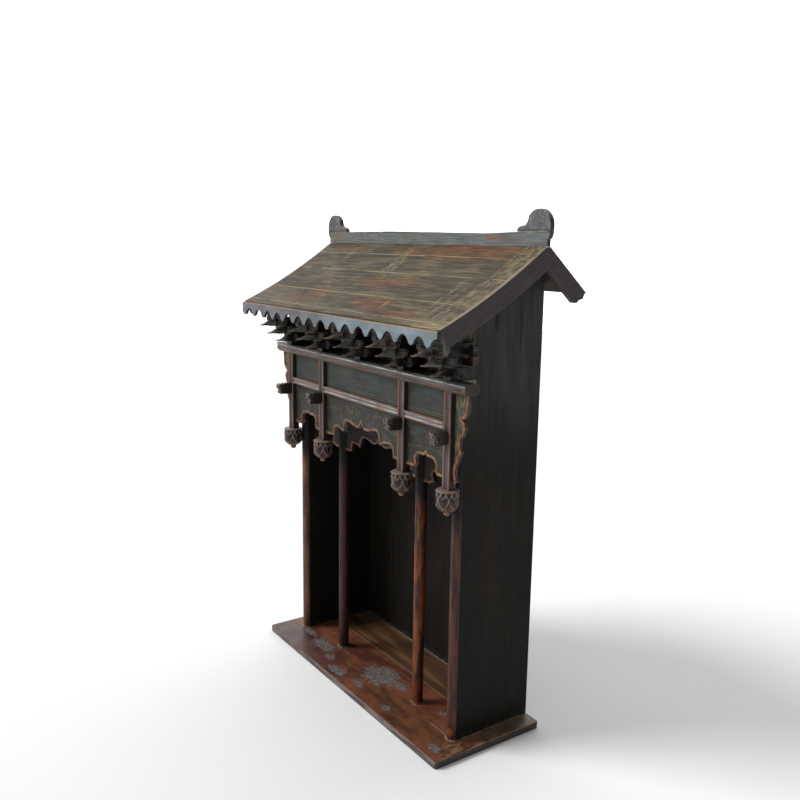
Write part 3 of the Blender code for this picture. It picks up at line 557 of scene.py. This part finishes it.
def carved_edge(node, straight):
    """The outline points of a board's front face along its carved edge.

    straight holds tests for the board's plain sides, whose edges are left out.
    """
    bm = bmesh.new()
    bm.from_mesh(nodes[node].data)
    bmesh.ops.remove_doubles(bm, verts=bm.verts, dist=0.00001)
    face = min(v.co.y for v in bm.verts)
    links = {}
    for edge in bm.edges:
        a, b = edge.verts
        if max(a.co.y, b.co.y) > face + 0.0001:
            continue
        if all(max(v.co.y for v in side.verts) < face + 0.0001 for side in edge.link_faces):
            continue
        if any(test(a.co) and test(b.co) for test in straight):
            continue
        links.setdefault(a.index, []).append(b)
        links.setdefault(b.index, []).append(a)
    start = min((i for i, ends in links.items() if len(ends) == 1), key=lambda i: links[i][0].co.x)
    points, last, here = [], None, start
    bm.verts.ensure_lookup_table()
    while here is not None:
        points.append(Vector((bm.verts[here].co.x, bm.verts[here].co.z)))
        following = [v.index for v in links[here] if v.index != last]
        last, here = here, (following[0] if following else None)
    bm.free()
    return points, face


def bead_mesh(points, face, wide, proud, inward):
    """A half-round bead along the points; inward is +1 where the wood lies left of the way."""
    steps = 7
    bm = bmesh.new()
    rows = []
    for i, point in enumerate(points):
        before = points[max(i - 1, 0)]
        after = points[min(i + 1, len(points) - 1)]
        into = (point - before).normalized() + (after - point).normalized()
        along = into.normalized() if into.length > 0.2 else (after - before).normalized()
        normal = Vector((-along.y, along.x)) * inward
        sharp = 1 / max(0.62, into.length / 2)
        row = []
        for k in range(steps + 1):
            turn = math.pi * k / steps
            across = wide * (1 - math.cos(turn)) / 2 * sharp - 0.0003
            out = proud * math.sin(turn) - 0.0002
            spot = point + normal * across
            row.append(bm.verts.new((spot.x, face - out, spot.y)))
        rows.append(row)
    for row, following in zip(rows, rows[1:]):
        for k in range(steps):
            bm.faces.new((row[k], following[k], following[k + 1], row[k + 1]))
    bmesh.ops.recalc_face_normals(bm, faces=bm.faces)
    mesh = bpy.data.meshes.new("bead")
    bm.to_mesh(mesh)
    bm.free()
    mesh.shade_smooth()
    return mesh


def filled_in(points, spacing):
    """The same way with points no further apart than spacing."""
    dense = [points[0]]
    for a, b in zip(points, points[1:]):
        count = max(1, round((b - a).length / spacing))
        dense += [a.lerp(b, i / count) for i in range(1, count + 1)]
    return dense


dress(slate_paint("slate_blue_green_paint", 0.0), "frieze_panel_*", "apron_*")
# The inner aprons sit in shadow; their paint is darkened as painted shade.
dress(slate_paint("slate_paint_painted_shade", 0.93), "inner_apron_*")
dress(wing_paint(), "left_wing", "right_wing")
bead_spacing = 0.002
apron_bead_width, apron_bead_height = 0.0072, 0.0020
wing_bead_width, wing_bead_height = 0.0092, 0.0026
apron_bead = bead_paint("edge_bead_orange_brown", "482f20", "855f40", 0.6, 0.0)
# The inner beads sit in shadow and are darkened as painted shade.
inner_bead = bead_paint("edge_bead_painted_shade", "553a24", "94643a", 0.4, 0.42)
wing_bead = bead_paint("wing_bead_orange_brown", "5d3b26", "96633f", 0.0, 0.0)
for name in sorted(nodes):
    if name.startswith(("apron_", "inner_apron_")):
        low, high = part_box(name)
        plain = [lambda p, h=high: p.z > h.z - 0.001,
                 lambda p, lo=low: p.x < lo.x + 0.0002,
                 lambda p, h=high: p.x > h.x - 0.0002]
        edge, front = carved_edge(name, plain)
        bead = bead_mesh(filled_in(edge, bead_spacing), front, apron_bead_width,
                         apron_bead_height, 1)
        finish = inner_bead if name.startswith("inner") else apron_bead
        add_piece("edge_bead_of_" + name, bead, finish)
for name, sign in (("left_wing", -1), ("right_wing", 1)):
    low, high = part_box(name)
    inner = high.x if sign < 0 else low.x
    plain = [lambda p, h=high: p.z > h.z - 0.001,
             lambda p, side=inner: abs(p.x - side) < 0.0002,
             lambda p, lo=low: p.z < lo.z + 0.0002]
    edge, front = carved_edge(name, plain)
    if edge[0].y > edge[-1].y:
        edge.reverse()
    bead = bead_mesh(filled_in(edge, bead_spacing), front, wing_bead_width, wing_bead_height,
                     sign)
    add_piece("edge_bead_of_" + name, bead, wing_bead)


# Lotus pendants
# Carved buds under the posts: petals with raised rims hang tip down round a six-sided cup,
# with a turned ball below. Brown wood, the rims rubbed pale.
def pendant_finish():
    """Dark brown wood with pale rubbed rims and orange where the wood is bare."""
    f = Finish("pendant_rubbed_brown_wood")
    rim = f.add("Attribute", out="Fac", attribute_name="rim")
    f.colour = f.mix(f.spots(0.35, 0.65, 5, detail=4), "0f0c0a", "261d18")
    rubbed = f.both(f.ramp(rim, 0.35, 0.90), f.spots(0.22, 0.48, 4, detail=3, shift=3))
    f.coat("8a7468", rubbed, 0.85)
    bare = f.both(f.ramp(f.z, 0.590, 0.563), f.spots(0.4, 0.62, 6, detail=3, shift=6))
    f.coat("74492f", bare, 0.6)
    ball = f.both(f.ramp(f.z, 0.5625, 0.5600), f.ramp(f.facing[1], 0.2, -0.5))
    f.coat("95786a", ball, 0.65)
    f.carve(f.cells(2.5, detail=4), 0.0003)
    return f.done(0.5, 0.4)


turn = math.pi / 3
petal_tiers = ((turn / 2, -0.06, 0.26, turn / 2), (0.0, -0.06, 0.26, turn / 2),
               (0.0, 0.18, 0.74, turn), (turn / 2, 0.50, 1.0, turn))
rim_width, cup_radius = 0.0022, 0.0265


def petal_rim(angle, h):
    """1 on the rims of the petals; h runs from 0 at the rim of the cup to 1 at its foot."""
    rims = []
    covered = False
    for offset, top, tip, width in petal_tiers:
        across = abs(((angle - offset + width / 2) % width) - width / 2) / (width / 2)
        if top < h < tip + 0.04 and not covered:
            share = min(1.0, max(0.0, (h - top) / (tip - top)))
            half = max(0.0, 1 - share ** 2.4) ** 0.6
            slack = rim_width / (cup_radius * width / 2)
            rims.append(math.exp(-((across - half) / slack) ** 2))
            covered = across < half
        elif top < h < tip:
            rims.append(0.0)
    return max(rims, default=0.0)


def pendant_mesh(name):
    """A carved bud inside the CAD pendant's own box."""
    low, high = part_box(name)
    middle = (low + high) / 2
    radius = (high.x - low.x) / 2
    ball_height = 0.0125
    foot = low.z + ball_height - 0.0012
    around, cup_rows, ball_rows = 240, 96, 20
    profile = [(high.z, 0.30, 0.8), (high.z, 0.86, 0.9), (high.z - 0.0004, 0.97, 1.0),
               (high.z - 0.0024, 0.99, 1.0), (high.z - 0.0032, 0.90, 0.1)]
    for j in range(1, cup_rows + 1):
        h = j / cup_rows
        profile.append((high.z - 0.0030 + (foot - high.z + 0.0030) * h, None, h))
    bm = bmesh.new()
    layer = bm.verts.layers.float.new("rim")
    rows = []
    for z, share, value in profile:
        row = []
        for i in range(around):
            angle = 2 * math.pi * i / around
            flat = math.cos(math.pi / 6) / math.cos(angle % (math.pi / 3) - math.pi / 6)
            six = 0.55 + 0.45 * flat
            if share is None:
                rim = petal_rim(angle, value)
                swell = 0.92 + 0.05 * math.sin(math.pi * min(1, value * 1.1))
                swell *= 1 - 0.42 * max(0.0, (value - 0.66) / 0.34) ** 1.9
                r = radius * six * swell - 0.0010 + 0.0014 * rim
            else:
                rim = value
                r = radius * six * share
            vert = bm.verts.new((middle.x + r * math.cos(angle), middle.y + r * math.sin(angle),
                                 z))
            vert[layer] = rim
            row.append(vert)
        rows.append(row)
    for j in range(ball_rows + 1):
        tilt = math.radians(50 - 139 * j / ball_rows)
        row = []
        for i in range(around):
            angle = 2 * math.pi * i / around
            r = 0.0080 * math.cos(tilt)
            z = low.z + 0.0062 * (1 + math.sin(tilt))
            vert = bm.verts.new((middle.x + r * math.cos(angle), middle.y + r * math.sin(angle),
                                 z))
            vert[layer] = 0.15
            row.append(vert)
        rows.append(row)
    for upper, lower in zip(rows, rows[1:]):
        for i in range(around):
            j = (i + 1) % around
            bm.faces.new((upper[i], lower[i], lower[j], upper[j]))
    bm.faces.new(rows[0])
    bm.faces.new(list(reversed(rows[-1])))
    bmesh.ops.recalc_face_normals(bm, faces=bm.faces)
    mesh = bpy.data.meshes.new(name + "_carved")
    bm.to_mesh(mesh)
    bm.free()
    mesh.shade_smooth()
    mesh.set_sharp_from_angle(angle=math.radians(70))
    return mesh


pendant_wood = pendant_finish()
for number in post_numbers:
    bud = "lotus_pendant_%d" % number
    carved = add_piece("carved_pendant_%d" % number, pendant_mesh(bud), pendant_wood)
    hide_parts(bud)


# Beam heads and bracket sets
# Near-black carved wood, dusty on the upper faces and rubbed at the beaks' tips and edges, which
# also carry painted highlights; the beaks' cheeks are painted light where lit. One small block on
# the right has lost its paint and shows red.
def bracket_finish(name):
    """Smoke-black wood; the beaks' cheeks are painted light grey as lit, dust greys the upper
    faces, and rubbing and painted highlights lighten the upper edges.
    """
    f = Finish(name)
    f.colour = f.mix(f.spots(0.38, 0.64, 7, "Y", 4, 4), "0c0a09", "1b1714")
    # Painted light: the side faces of the beaks out in front are lightened as lit.
    beak = f.ramp(f.y, -0.112, -0.128)
    side = f.ramp(f.maths("ABSOLUTE", f.facing[0]), 0.7, 0.95)
    lit = f.both(f.both(side, beak), f.spots(0.34, 0.58, 14, "Y", 3, 4, 11))
    f.coat("6b6d68", lit, 0.85)
    far = f.both(side, f.spots(0.48, 0.66, 16, "Y", 3, 4, 21))
    f.coat("444540", far, 0.5)
    dusty = f.both(f.ramp(f.facing[2], 0.25, 0.8), f.spots(0.3, 0.6, 9, detail=4, shift=2))
    f.coat("514d44", dusty, 0.5)
    ochre = f.both(f.spots(0.58, 0.68, 8, detail=3, shift=15), lit)
    f.coat("73602c", ochre, 0.6)
    crest = f.both(beak, f.ramp(f.facing[2], 0.2, 0.5))
    f.coat("8f7565", f.both(crest, f.spots(0.3, 0.55, 7, detail=3)), 0.7)
    # Worn edges, lightened also as painted highlights.
    worn = f.both(f.edges(0.0020, 9, 0.50), f.either(beak, 0.30))
    f.coat("8f8373", worn, 0.75)
    red = f.patch((0.393, -0.067, 0.886), (0.010, 0.012, 0.010), 0.15, 9)
    f.coat("4b2a1f", red, 0.8)
    f.carve(f.cells(3, "Y", 6, 4), 0.0004)
    return f.done(0.5, 0.35)


def knob_finish():
    """Near-black knobs, their front lobes rubbed to a pinkish grey."""
    f = Finish("beam_head_smoked_wood")
    f.colour = f.mix(f.spots(0.38, 0.64, 6, "Y", 3, 4), "120e0d", "271d1a")
    front = f.both(f.ramp(f.y, -0.126, -0.140), f.spots(0.42, 0.62, 6, detail=3))
    f.coat("7a635c", front, 0.8)
    groove = f.add("Attribute", out="Fac", attribute_name="groove")
    f.coat("0e0b0a", groove, 0.7)
    f.coat("6f5d55", f.edges(0.002, 7, 0.4), 0.35)
    f.carve(f.cells(3, "Y", 4, 4), 0.0003)
    return f.done(0.5, 0.38)


def softened(name, voxel, rounds):
    """A copy of a CAD solid's mesh with worn edges, and its new attribute for grooves."""
    block = bpy.data.objects.new("rough_block", nodes[name].data.copy())
    bpy.context.scene.collection.objects.link(block)
    weld = block.modifiers.new("weld", "WELD")
    weld.merge_threshold = 0.00002
    fine = block.modifiers.new("fine", "REMESH")
    fine.mode = "VOXEL"
    fine.voxel_size = voxel
    soft = block.modifiers.new("soft", "SMOOTH")
    soft.factor = 0.5
    soft.iterations = rounds
    bpy.context.view_layer.update()
    graph = bpy.context.evaluated_depsgraph_get()
    mesh = bpy.data.meshes.new_from_object(block.evaluated_get(graph))
    bpy.data.objects.remove(block, do_unlink=True)
    return mesh, mesh.attributes.new("groove", "FLOAT", "POINT")


def knob_mesh(name):
    """The CAD block with its corners carved round and a scroll cut in both cheeks."""
    low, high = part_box(name)
    mesh, groove = softened(name, 0.0006, 14)
    middle = (low.x + high.x) / 2
    tip = low.y
    scrolls = ((tip + 0.0105, high.z - 0.0095, 0.0088, 1),
               (tip + 0.0165, low.z + 0.0070, 0.0060, -1))
    for vert in mesh.vertices:
        depth = 0.0
        for y, z, reach, turn in scrolls:
            v, u = vert.co.z - z, vert.co.y - y
            away = math.hypot(u, v)
            if away < reach:
                turns = away / (reach * 0.46) - turn * math.atan2(v, u) / (2 * math.pi)
                ripple = abs(turns - math.floor(turns) - 0.5)
                cut = max(0.0, 1 - ripple / 0.17) * min(1.0, (reach - away) / 0.001)
                depth = max(depth, cut)
        side = abs(vert.co.x - middle) / ((high.x - low.x) / 2)
        depth *= max(0.0, min(1.0, (side - 0.6) / 0.2))
        groove.data[vert.index].value = depth
        vert.co.x += (-1 if vert.co.x > middle else 1) * 0.0008 * depth
    mesh.shade_smooth()
    return mesh


dress(bracket_finish("bracket_smoked_wood"), "bracket_set_*")
knob_wood = knob_finish()
for number in post_numbers:
    head = "beam_head_%d" % number
    knob = add_piece("carved_beam_head_%d" % number, knob_mesh(head), knob_wood)
    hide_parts(head)


# Board behind the brackets
# Painted blue-green like the hood panels, with a brown bare edge at both ends.
def back_board_paint():
    """Dusty blue-green paint."""
    f = Finish("bracket_board_blue_green_paint")
    f.colour = streaked(f, "4a5350", "727b76", "X")
    pale = f.both(f.ramp(f.x, 0.27, 0.33), f.spots(0.35, 0.6, 18, detail=4, shift=6))
    f.coat("868c80", pale, 0.8)
    end = f.ramp(f.maths("ABSOLUTE", f.x), 0.352, 0.3545)
    f.coat("3c2e24", end)
    f.carve(f.cells(2.4, "X", 22, 4), 0.0003)
    return f.done(0.6, 0.3)


dress(back_board_paint(), "bracket_back_board")


# Roof
# Bare weathered boards: grey-brown with dark grain, rust-orange where the old finish stays,
# pale where battens lay and at the seams. Fascia, ridge board and carved finials are painted
# grey-blue, the bargeboards purplish brown.
roof_seams = (-0.1130, -0.0280, 0.0340)
rust_places = (
    (0.18, 0.052, 1.094, 0.24, 0.030), (0.115, -0.14, 0.983, 0.085, 0.030),
    (0.25, -0.165, 0.970, 0.10, 0.016), (-0.155, -0.12, 0.992, 0.06, 0.022),
    (0.06, -0.060, 1.027, 0.14, 0.016), (-0.22, -0.150, 0.978, 0.06, 0.014),
    (-0.30, 0.055, 1.090, 0.08, 0.012))
batten_places = (
    (-0.012, 0.010, -0.05, 0.07), (0.012, 0.002, -0.06, 0.03), (0.315, 0.002, -0.15, -0.02),
    (0.345, 0.001, -0.17, -0.03), (0.16, 0.002, -0.17, -0.10), (-0.26, 0.006, 0.0, 0.07))


def roof_wood():
    """Weathered bare wood, matt, the grain raised."""
    f = Finish("roof_weathered_boards")
    grain = f.cells(2.2, "X", 45, 5)
    broad = f.cells(5.5, "X", 24, 5, 27)
    f.colour = f.mix(f.ramp(broad, 0.34, 0.68), "2c2419", "64563f")
    f.coat("231d15", f.ramp(grain, 0.58, 0.36), 0.55)
    tone = f.spots(0.40, 0.64, 34, "X", 3.0, 5, 3)
    f.coat("6f624a", tone, 0.5)
    olive = f.spots(0.48, 0.66, 46, "X", 1.8, 4, 16)
    f.coat("343124", olive, 0.55)
    dark = f.spots(0.50, 0.64, 20, "X", 5, 5, 7)
    f.coat("2b231c", dark, 0.6)
    mauve = f.both(f.ramp(f.x, -0.12, -0.34), f.ramp(f.y, -0.08, -0.16))
    f.coat("675c55", mauve, 0.45)
    rust = 0.0
    for x, y, z, wide, deep in rust_places:
        rust = f.either(rust, f.patch((x, y, z), (wide, deep, 0.06), 0.8, 30))
    rust = f.both(rust, f.spots(0.32, 0.56, 5, "X", 14, 4, 9))
    rusty = f.mix(f.spots(0.35, 0.65, 3, "X", 20, 4, 4), "452a1a", "7f4c22")
    f.coat(rusty, rust, 0.8)
    ghosts = f.both(f.either(f.band(f.x, 0.373, 0.0010, 0.0015),
                             f.band(f.x, 0.383, 0.0008, 0.0015)),
                    f.ramp(f.y, -0.02, -0.05))
    end_band = f.both(f.ramp(f.x, 0.370, 0.380), f.spots(0.30, 0.62, 9, "Y", 16, 3, 19))
    fade = {"Value": f.y, "From Min": 0.05, "From Max": -0.15, "To Min": 0.75, "To Max": 0.5}
    ghosts = f.either(ghosts, f.both(end_band, f.add("MapRange", fade)))
    for x, half, start, end in batten_places:
        run = f.both(f.ramp(f.y, start, start + 0.03), f.ramp(f.y, end, end - 0.03))
        ghosts = f.either(ghosts, f.both(f.both(f.band(f.x, x, half, 0.007), run), 0.7))
    ghosts = f.both(ghosts, f.spots(0.36, 0.62, 10, "Y", 5, 4, 5))
    cross = f.either(f.band(f.y, -0.177, 0.0006, 0.0014), f.band(f.y, -0.1995, 0.0015, 0.0020))
    for seam in roof_seams:
        cross = f.either(cross, f.band(f.y, seam + 0.001, 0.0006, 0.0014))
    cross = f.both(cross, f.spots(0.32, 0.56, 18, "X", 5, 4, 6))
    tip = f.both(f.ramp(f.x, 0.24, 0.40), f.ramp(f.y, -0.150, -0.195))
    cross = f.either(cross, f.both(tip, f.spots(0.30, 0.60, 4, "X", 12, 4, 33)))
    streaks = f.spots(0.58, 0.68, 3.4, "X", 30, 3, 17)
    pale = f.either(f.both(ghosts, 0.55), f.both(cross, 0.62))
    pale = f.either(pale, f.both(streaks, 0.28))
    f.coat("ad9c76", pale)
    edge = f.both(f.ramp(f.y, -0.1975, -0.2000), f.spots(0.25, 0.5, 12, "X", 4, 3, 21))
    f.coat("b39a78", edge, 0.8)
    crack = f.spots(0.73, 0.77, 3.2, "X", 60, 2, 13)
    f.coat("1a1512", crack, 0.75)
    # Painted shade: faces turned downwards are darkened.
    under = f.ramp(f.facing[2], 0.1, -0.3)
    f.coat(f.mix(grain, "1d1815", "3a3029"), under)
    rear = f.ramp(f.facing[1], 0.2, 0.5)
    f.coat("3d3833", rear, 0.6)
    f.carve(grain, 0.0004)
    f.carve(f.cells(35, "X", 3, 4), 0.0014)
    f.carve(crack, -0.0008)
    return f.done(f.maths("ADD", f.both(f.cells(20, detail=3), 0.2), 0.55), 0.2)


def eave_paint():
    """Chalky blue-grey paint with a bare, tan top edge and grime at the notches; the faces inside
    the notches are painted near black as shade.
    """
    f = Finish("eave_blue_grey_paint")
    low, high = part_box("eave_fascia")
    blue = f.mix(f.spots(0.35, 0.65, 30, "X", 3, 4), "6e7a80", "85939a")
    mauve = f.mix(f.spots(0.35, 0.65, 30, "X", 3, 4, 7), "5b5c61", "72757a")
    f.colour = f.mix(f.ramp(f.x, -0.05, 0.12), mauve, blue)
    f.coat("545b5e", f.spots(0.50, 0.72, 2.4, "X", 20, 4, 2), 0.35)
    stain = f.spots(0.58, 0.72, 9, "X", 1.5, 5, 4)
    f.coat("4d4842", stain, 0.4)
    grime = f.both(f.ramp(f.z, low.z + 0.010, low.z), f.spots(0.35, 0.6, 6, detail=3, shift=9))
    f.coat("4a463f", grime, 0.35)
    bare = f.both(f.ramp(f.z, high.z - 0.0022, high.z - 0.0008),
                  f.spots(0.2, 0.45, 9, "X", 3, 3, 5))
    f.coat("a5835c", bare, 0.8)
    back = f.ramp(f.facing[1], 0.2, 0.6)
    f.coat("1d1a18", back)
    # Painted shade: faces inside the notches, turned away from the front and not upwards, are
    # darkened.
    below = f.both(f.ramp(f.facing[1], -0.8, -0.5), f.ramp(f.facing[2], 0.6, 0.3))
    f.coat("141312", below, 0.95)
    f.coat("9a9284", f.edges(0.0012, 6, 0.40), 0.35)
    f.carve(f.cells(2.4, "X", 20, 4), 0.0002)
    f.carve(f.cells(28, "X", 3, 3), 0.0006)
    return f.done(0.58, 0.3)


def ridge_paint():
    """Grey-blue paint, thin on the grain, with rust-brown bare places and pale worn edges."""
    f = Finish("ridge_grey_blue_paint")
    f.colour = streaked(f, "585c5d", "7b8081", "X")
    bare = f.spots(0.52, 0.66, 24, "X", 3, 5, 5)
    f.coat("645a50", bare, 0.55)
    olive = f.ramp(f.x, -0.20, -0.40)
    f.coat("6a675c", olive, 0.4)
    rust = f.patch((0.27, 0.071, 1.130), (0.055, 0.01, 0.006), 0.8, 9)
    rust = f.either(rust, f.patch((-0.39, 0.071, 1.134), (0.03, 0.01, 0.008), 0.8, 9))
    rust = f.both(rust, f.spots(0.38, 0.56, 4, "X", 6, 3, 4))
    f.coat("875c3c", rust, 0.8)
    high_part = f.ramp(f.z, 1.146, 1.150)
    worn = f.mix(f.spots(0.38, 0.62, 9, detail=5, shift=9), "57575a", "78757a")
    f.coat(worn, high_part, 0.7)
    brown = f.both(f.both(high_part, f.ramp(f.x, 0.0, -0.1)),
                   f.spots(0.42, 0.60, 8, "Z", 2, 4, 13))
    f.coat("63523f", brown, 0.5)
    ends = f.ramp(f.maths("ABSOLUTE", f.facing[0]), 0.35, 0.75)
    f.coat("2b2426", ends, 0.9)
    crown = f.both(f.ramp(f.facing[2], 0.35, 0.75), f.spots(0.25, 0.55, 7, detail=4, shift=3))
    f.coat("8f8060", f.both(crown, high_part), 0.7)
    board_top = f.both(f.ramp(f.z, 1.1405, 1.1422), f.ramp(f.z, 1.1470, 1.1460))
    edge = f.mix(f.spots(0.50, 0.62, 11, "X", 3, 4, 19), "453c2e", "a08f69")
    f.coat(edge, board_top, 0.75)
    groove = f.add("Attribute", out="Fac", attribute_name="groove")
    f.coat("2f2f34", groove, 0.8)
    f.coat("a08f6e", f.edges(0.0020, 8, 0.42), 0.45)
    f.carve(f.cells(2.6, "X", 18, 4), 0.0003)
    return f.done(0.6, 0.3)


eye_x, eye_z, eye_reach = 0.4195, 1.1665, 0.0190
foot_lines = ((1.1475, 0.352, 0.444), (1.1435, 0.350, 0.4415))


def finial_mesh(name, side):
    """The CAD finial with softened edges, a spiral cut in both faces and a line at its foot."""
    low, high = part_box(name)
    mesh, groove = softened(name, 0.0008, 6)
    middle = (low.y + high.y) / 2
    for vert in mesh.vertices:
        u, v = (vert.co.x - side * eye_x) * side, vert.co.z - eye_z
        away = math.hypot(u, v)
        depth = 0.0
        if 0.0012 < away < eye_reach:
            turns = away / 0.0052 + math.atan2(v, u) / (2 * math.pi)
            ripple = abs(turns - math.floor(turns) - 0.5)
            depth = max(0.0, 1 - ripple / 0.26) * min(1.0, (eye_reach - away) / 0.001)
        for height, start, end in foot_lines:
            if start < abs(vert.co.x) < end:
                depth = max(depth, 1 - abs(vert.co.z - height) / 0.0013)
        cheek = abs(vert.co.y - middle) / ((high.y - low.y) / 2)
        depth *= max(0.0, min(1.0, (cheek - 0.75) / 0.15))
        groove.data[vert.index].value = depth
        vert.co.y += (-1 if vert.co.y > middle else 1) * 0.0010 * depth
    mesh.shade_smooth()
    return mesh


def joint_dirt():
    """Old dust that has packed the open joint between the ridge board and the roof."""
    f = Finish("joint_packed_dirt")
    f.colour = f.mix(f.spots(0.38, 0.62, 12, "X", 4, 4, 4), "3d362e", "8d8069")
    return f.done(0.9, 0.1)


def joint_mesh():
    """A thin strip under the middle of the ridge board, let into it and into the roof."""
    ridge_low, ridge_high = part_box("ridge_board")
    roof_low, roof_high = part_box("roof_board_4")
    size = Vector((roof_high.x - roof_low.x - 0.002, 0.004, 0.0016))
    middle = Vector((0, (ridge_low.y + ridge_high.y) / 2, (ridge_low.z + roof_high.z) / 2))
    bm = bmesh.new()
    fitted = Matrix.Translation(middle) @ Matrix.Diagonal(size).to_4x4()
    bmesh.ops.create_cube(bm, size=1, matrix=fitted)
    mesh = bpy.data.meshes.new("joint_dirt")
    bm.to_mesh(mesh)
    bm.free()
    return mesh


def barge_paint(name, tilt):
    """Dark purplish-brown paint, rubbed along the upper edge; the grain follows the slope."""
    f = Finish(name)
    f.colour = f.mix(f.spots(0.28, 0.72, 2.6, "Y", 30, 4, 0, tilt), "2f292b", "3d3739")
    f.coat("352b28", f.spots(0.5, 0.7, 40, "Y", 3, 4, 4, tilt), 0.5)
    olive = f.spots(0.54, 0.70, 24, "Y", 2, 4, 14, tilt)
    f.coat("45453f", olive, 0.35)
    scratch = f.spots(0.72, 0.78, 1.6, "Y", 20, 2, 6, tilt)
    f.coat("6f665f", scratch, 0.25)
    crown = f.both(f.ramp(f.facing[2], 0.3, 0.6), f.spots(0.2, 0.5, 8, "Y", 3, 4, 5))
    f.coat("8f7f62", crown, 0.8)
    f.coat("85694d", f.edges(0.0020, 10, 0.5), 0.5)
    f.carve(f.cells(2.6, "Y", 26, 4, 0, tilt), 0.0002)
    f.carve(f.cells(40, "Y", 3, 3, 0, tilt), 0.0008)
    return f.done(0.5, 0.32)


dress(roof_wood(), "roof_*")
dress(eave_paint(), "eave_fascia")
ridge_finish = ridge_paint()
dress(ridge_finish, "ridge_board")
for end, side in (("left", -1), ("right", 1)):
    carved = add_piece("carved_%s_finial" % end, finial_mesh(end + "_finial", side), ridge_finish)
    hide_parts(end + "_finial")
add_piece("ridge_joint_dirt", joint_mesh(), joint_dirt())
dress(barge_paint("bargeboard_dark_purple_brown", math.radians(30)), "left_front_bargeboard",
      "right_front_bargeboard")
dress(barge_paint("rear_bargeboard_dark_purple_brown", math.radians(-40.7)),
      "left_rear_bargeboard",
      "right_rear_bargeboard")


# Studio
# A pale floor and a bright wall behind, soft light from the front left, and the camera where
# the photograph was taken from.
def light_wall():
    """Plain bright wall far behind the shrine."""
    f = Finish("studio_wall_white")
    f.feed(f.shader, {"Emission Color": (1, 1, 1, 1), "Emission Strength": 1.0})
    f.colour = linear("ffffff")
    return f.done(0.9, 0.0)


def floor_paint():
    """Matt white studio floor."""
    f = Finish("studio_floor_white")
    f.colour = linear("f4f4f4")
    return f.done(0.9, 0.0)


camera_place = Vector((1.7246, -1.1627, 1.1195))
yaw, pitch, roll = (math.radians(a) for a in (55.5985, 10.5153, 0.8076))
forward = Vector((-math.sin(yaw) * math.cos(pitch), math.cos(yaw) * math.cos(pitch),
                  -math.sin(pitch)))
level_right = Vector((math.cos(yaw), math.sin(yaw), 0))
level_up = level_right.cross(forward)
right = level_right * math.cos(roll) + level_up * math.sin(roll)
up = level_up * math.cos(roll) - level_right * math.sin(roll)
camera = bpy.data.objects.new("camera", bpy.data.cameras.new("camera"))
camera.data.lens = 38.4466
camera.data.sensor_width = 36
camera.matrix_world = (Matrix.Translation(camera_place)
                       @ Matrix((right, up, -forward)).transposed().to_4x4())
bpy.context.scene.collection.objects.link(camera)
bpy.context.scene.camera = camera

bpy.ops.mesh.primitive_plane_add(size=40)
floor = bpy.context.object
floor.name = "studio_floor"
floor.data.materials.append(floor_paint())
bpy.ops.mesh.primitive_plane_add(size=30)
wall = bpy.context.object
wall.name = "studio_wall"
wall.data.materials.append(light_wall())
away = Vector((forward.x, forward.y, 0)).normalized()
wall.location = away * 9 + Vector((0, 0, 14))
wall.rotation_euler = (math.radians(90), 0, yaw)

world = bpy.data.worlds.new("studio_air")
world.use_nodes = True
background = world.node_tree.nodes["Background"]
background.inputs["Color"].default_value = (1, 1, 1, 1)
background.inputs["Strength"].default_value = 0.30
bpy.context.scene.world = world
key = bpy.data.objects.new("key_light", bpy.data.lights.new("key_light", "SUN"))
key.data.energy = 2.4
key.data.angle = math.radians(25)
key.rotation_euler = Vector((-0.55, -0.75, 0.85)).to_track_quat("Z", "Y").to_euler()
bpy.context.scene.collection.objects.link(key)

bpy.context.scene.view_settings.view_transform = "Standard"
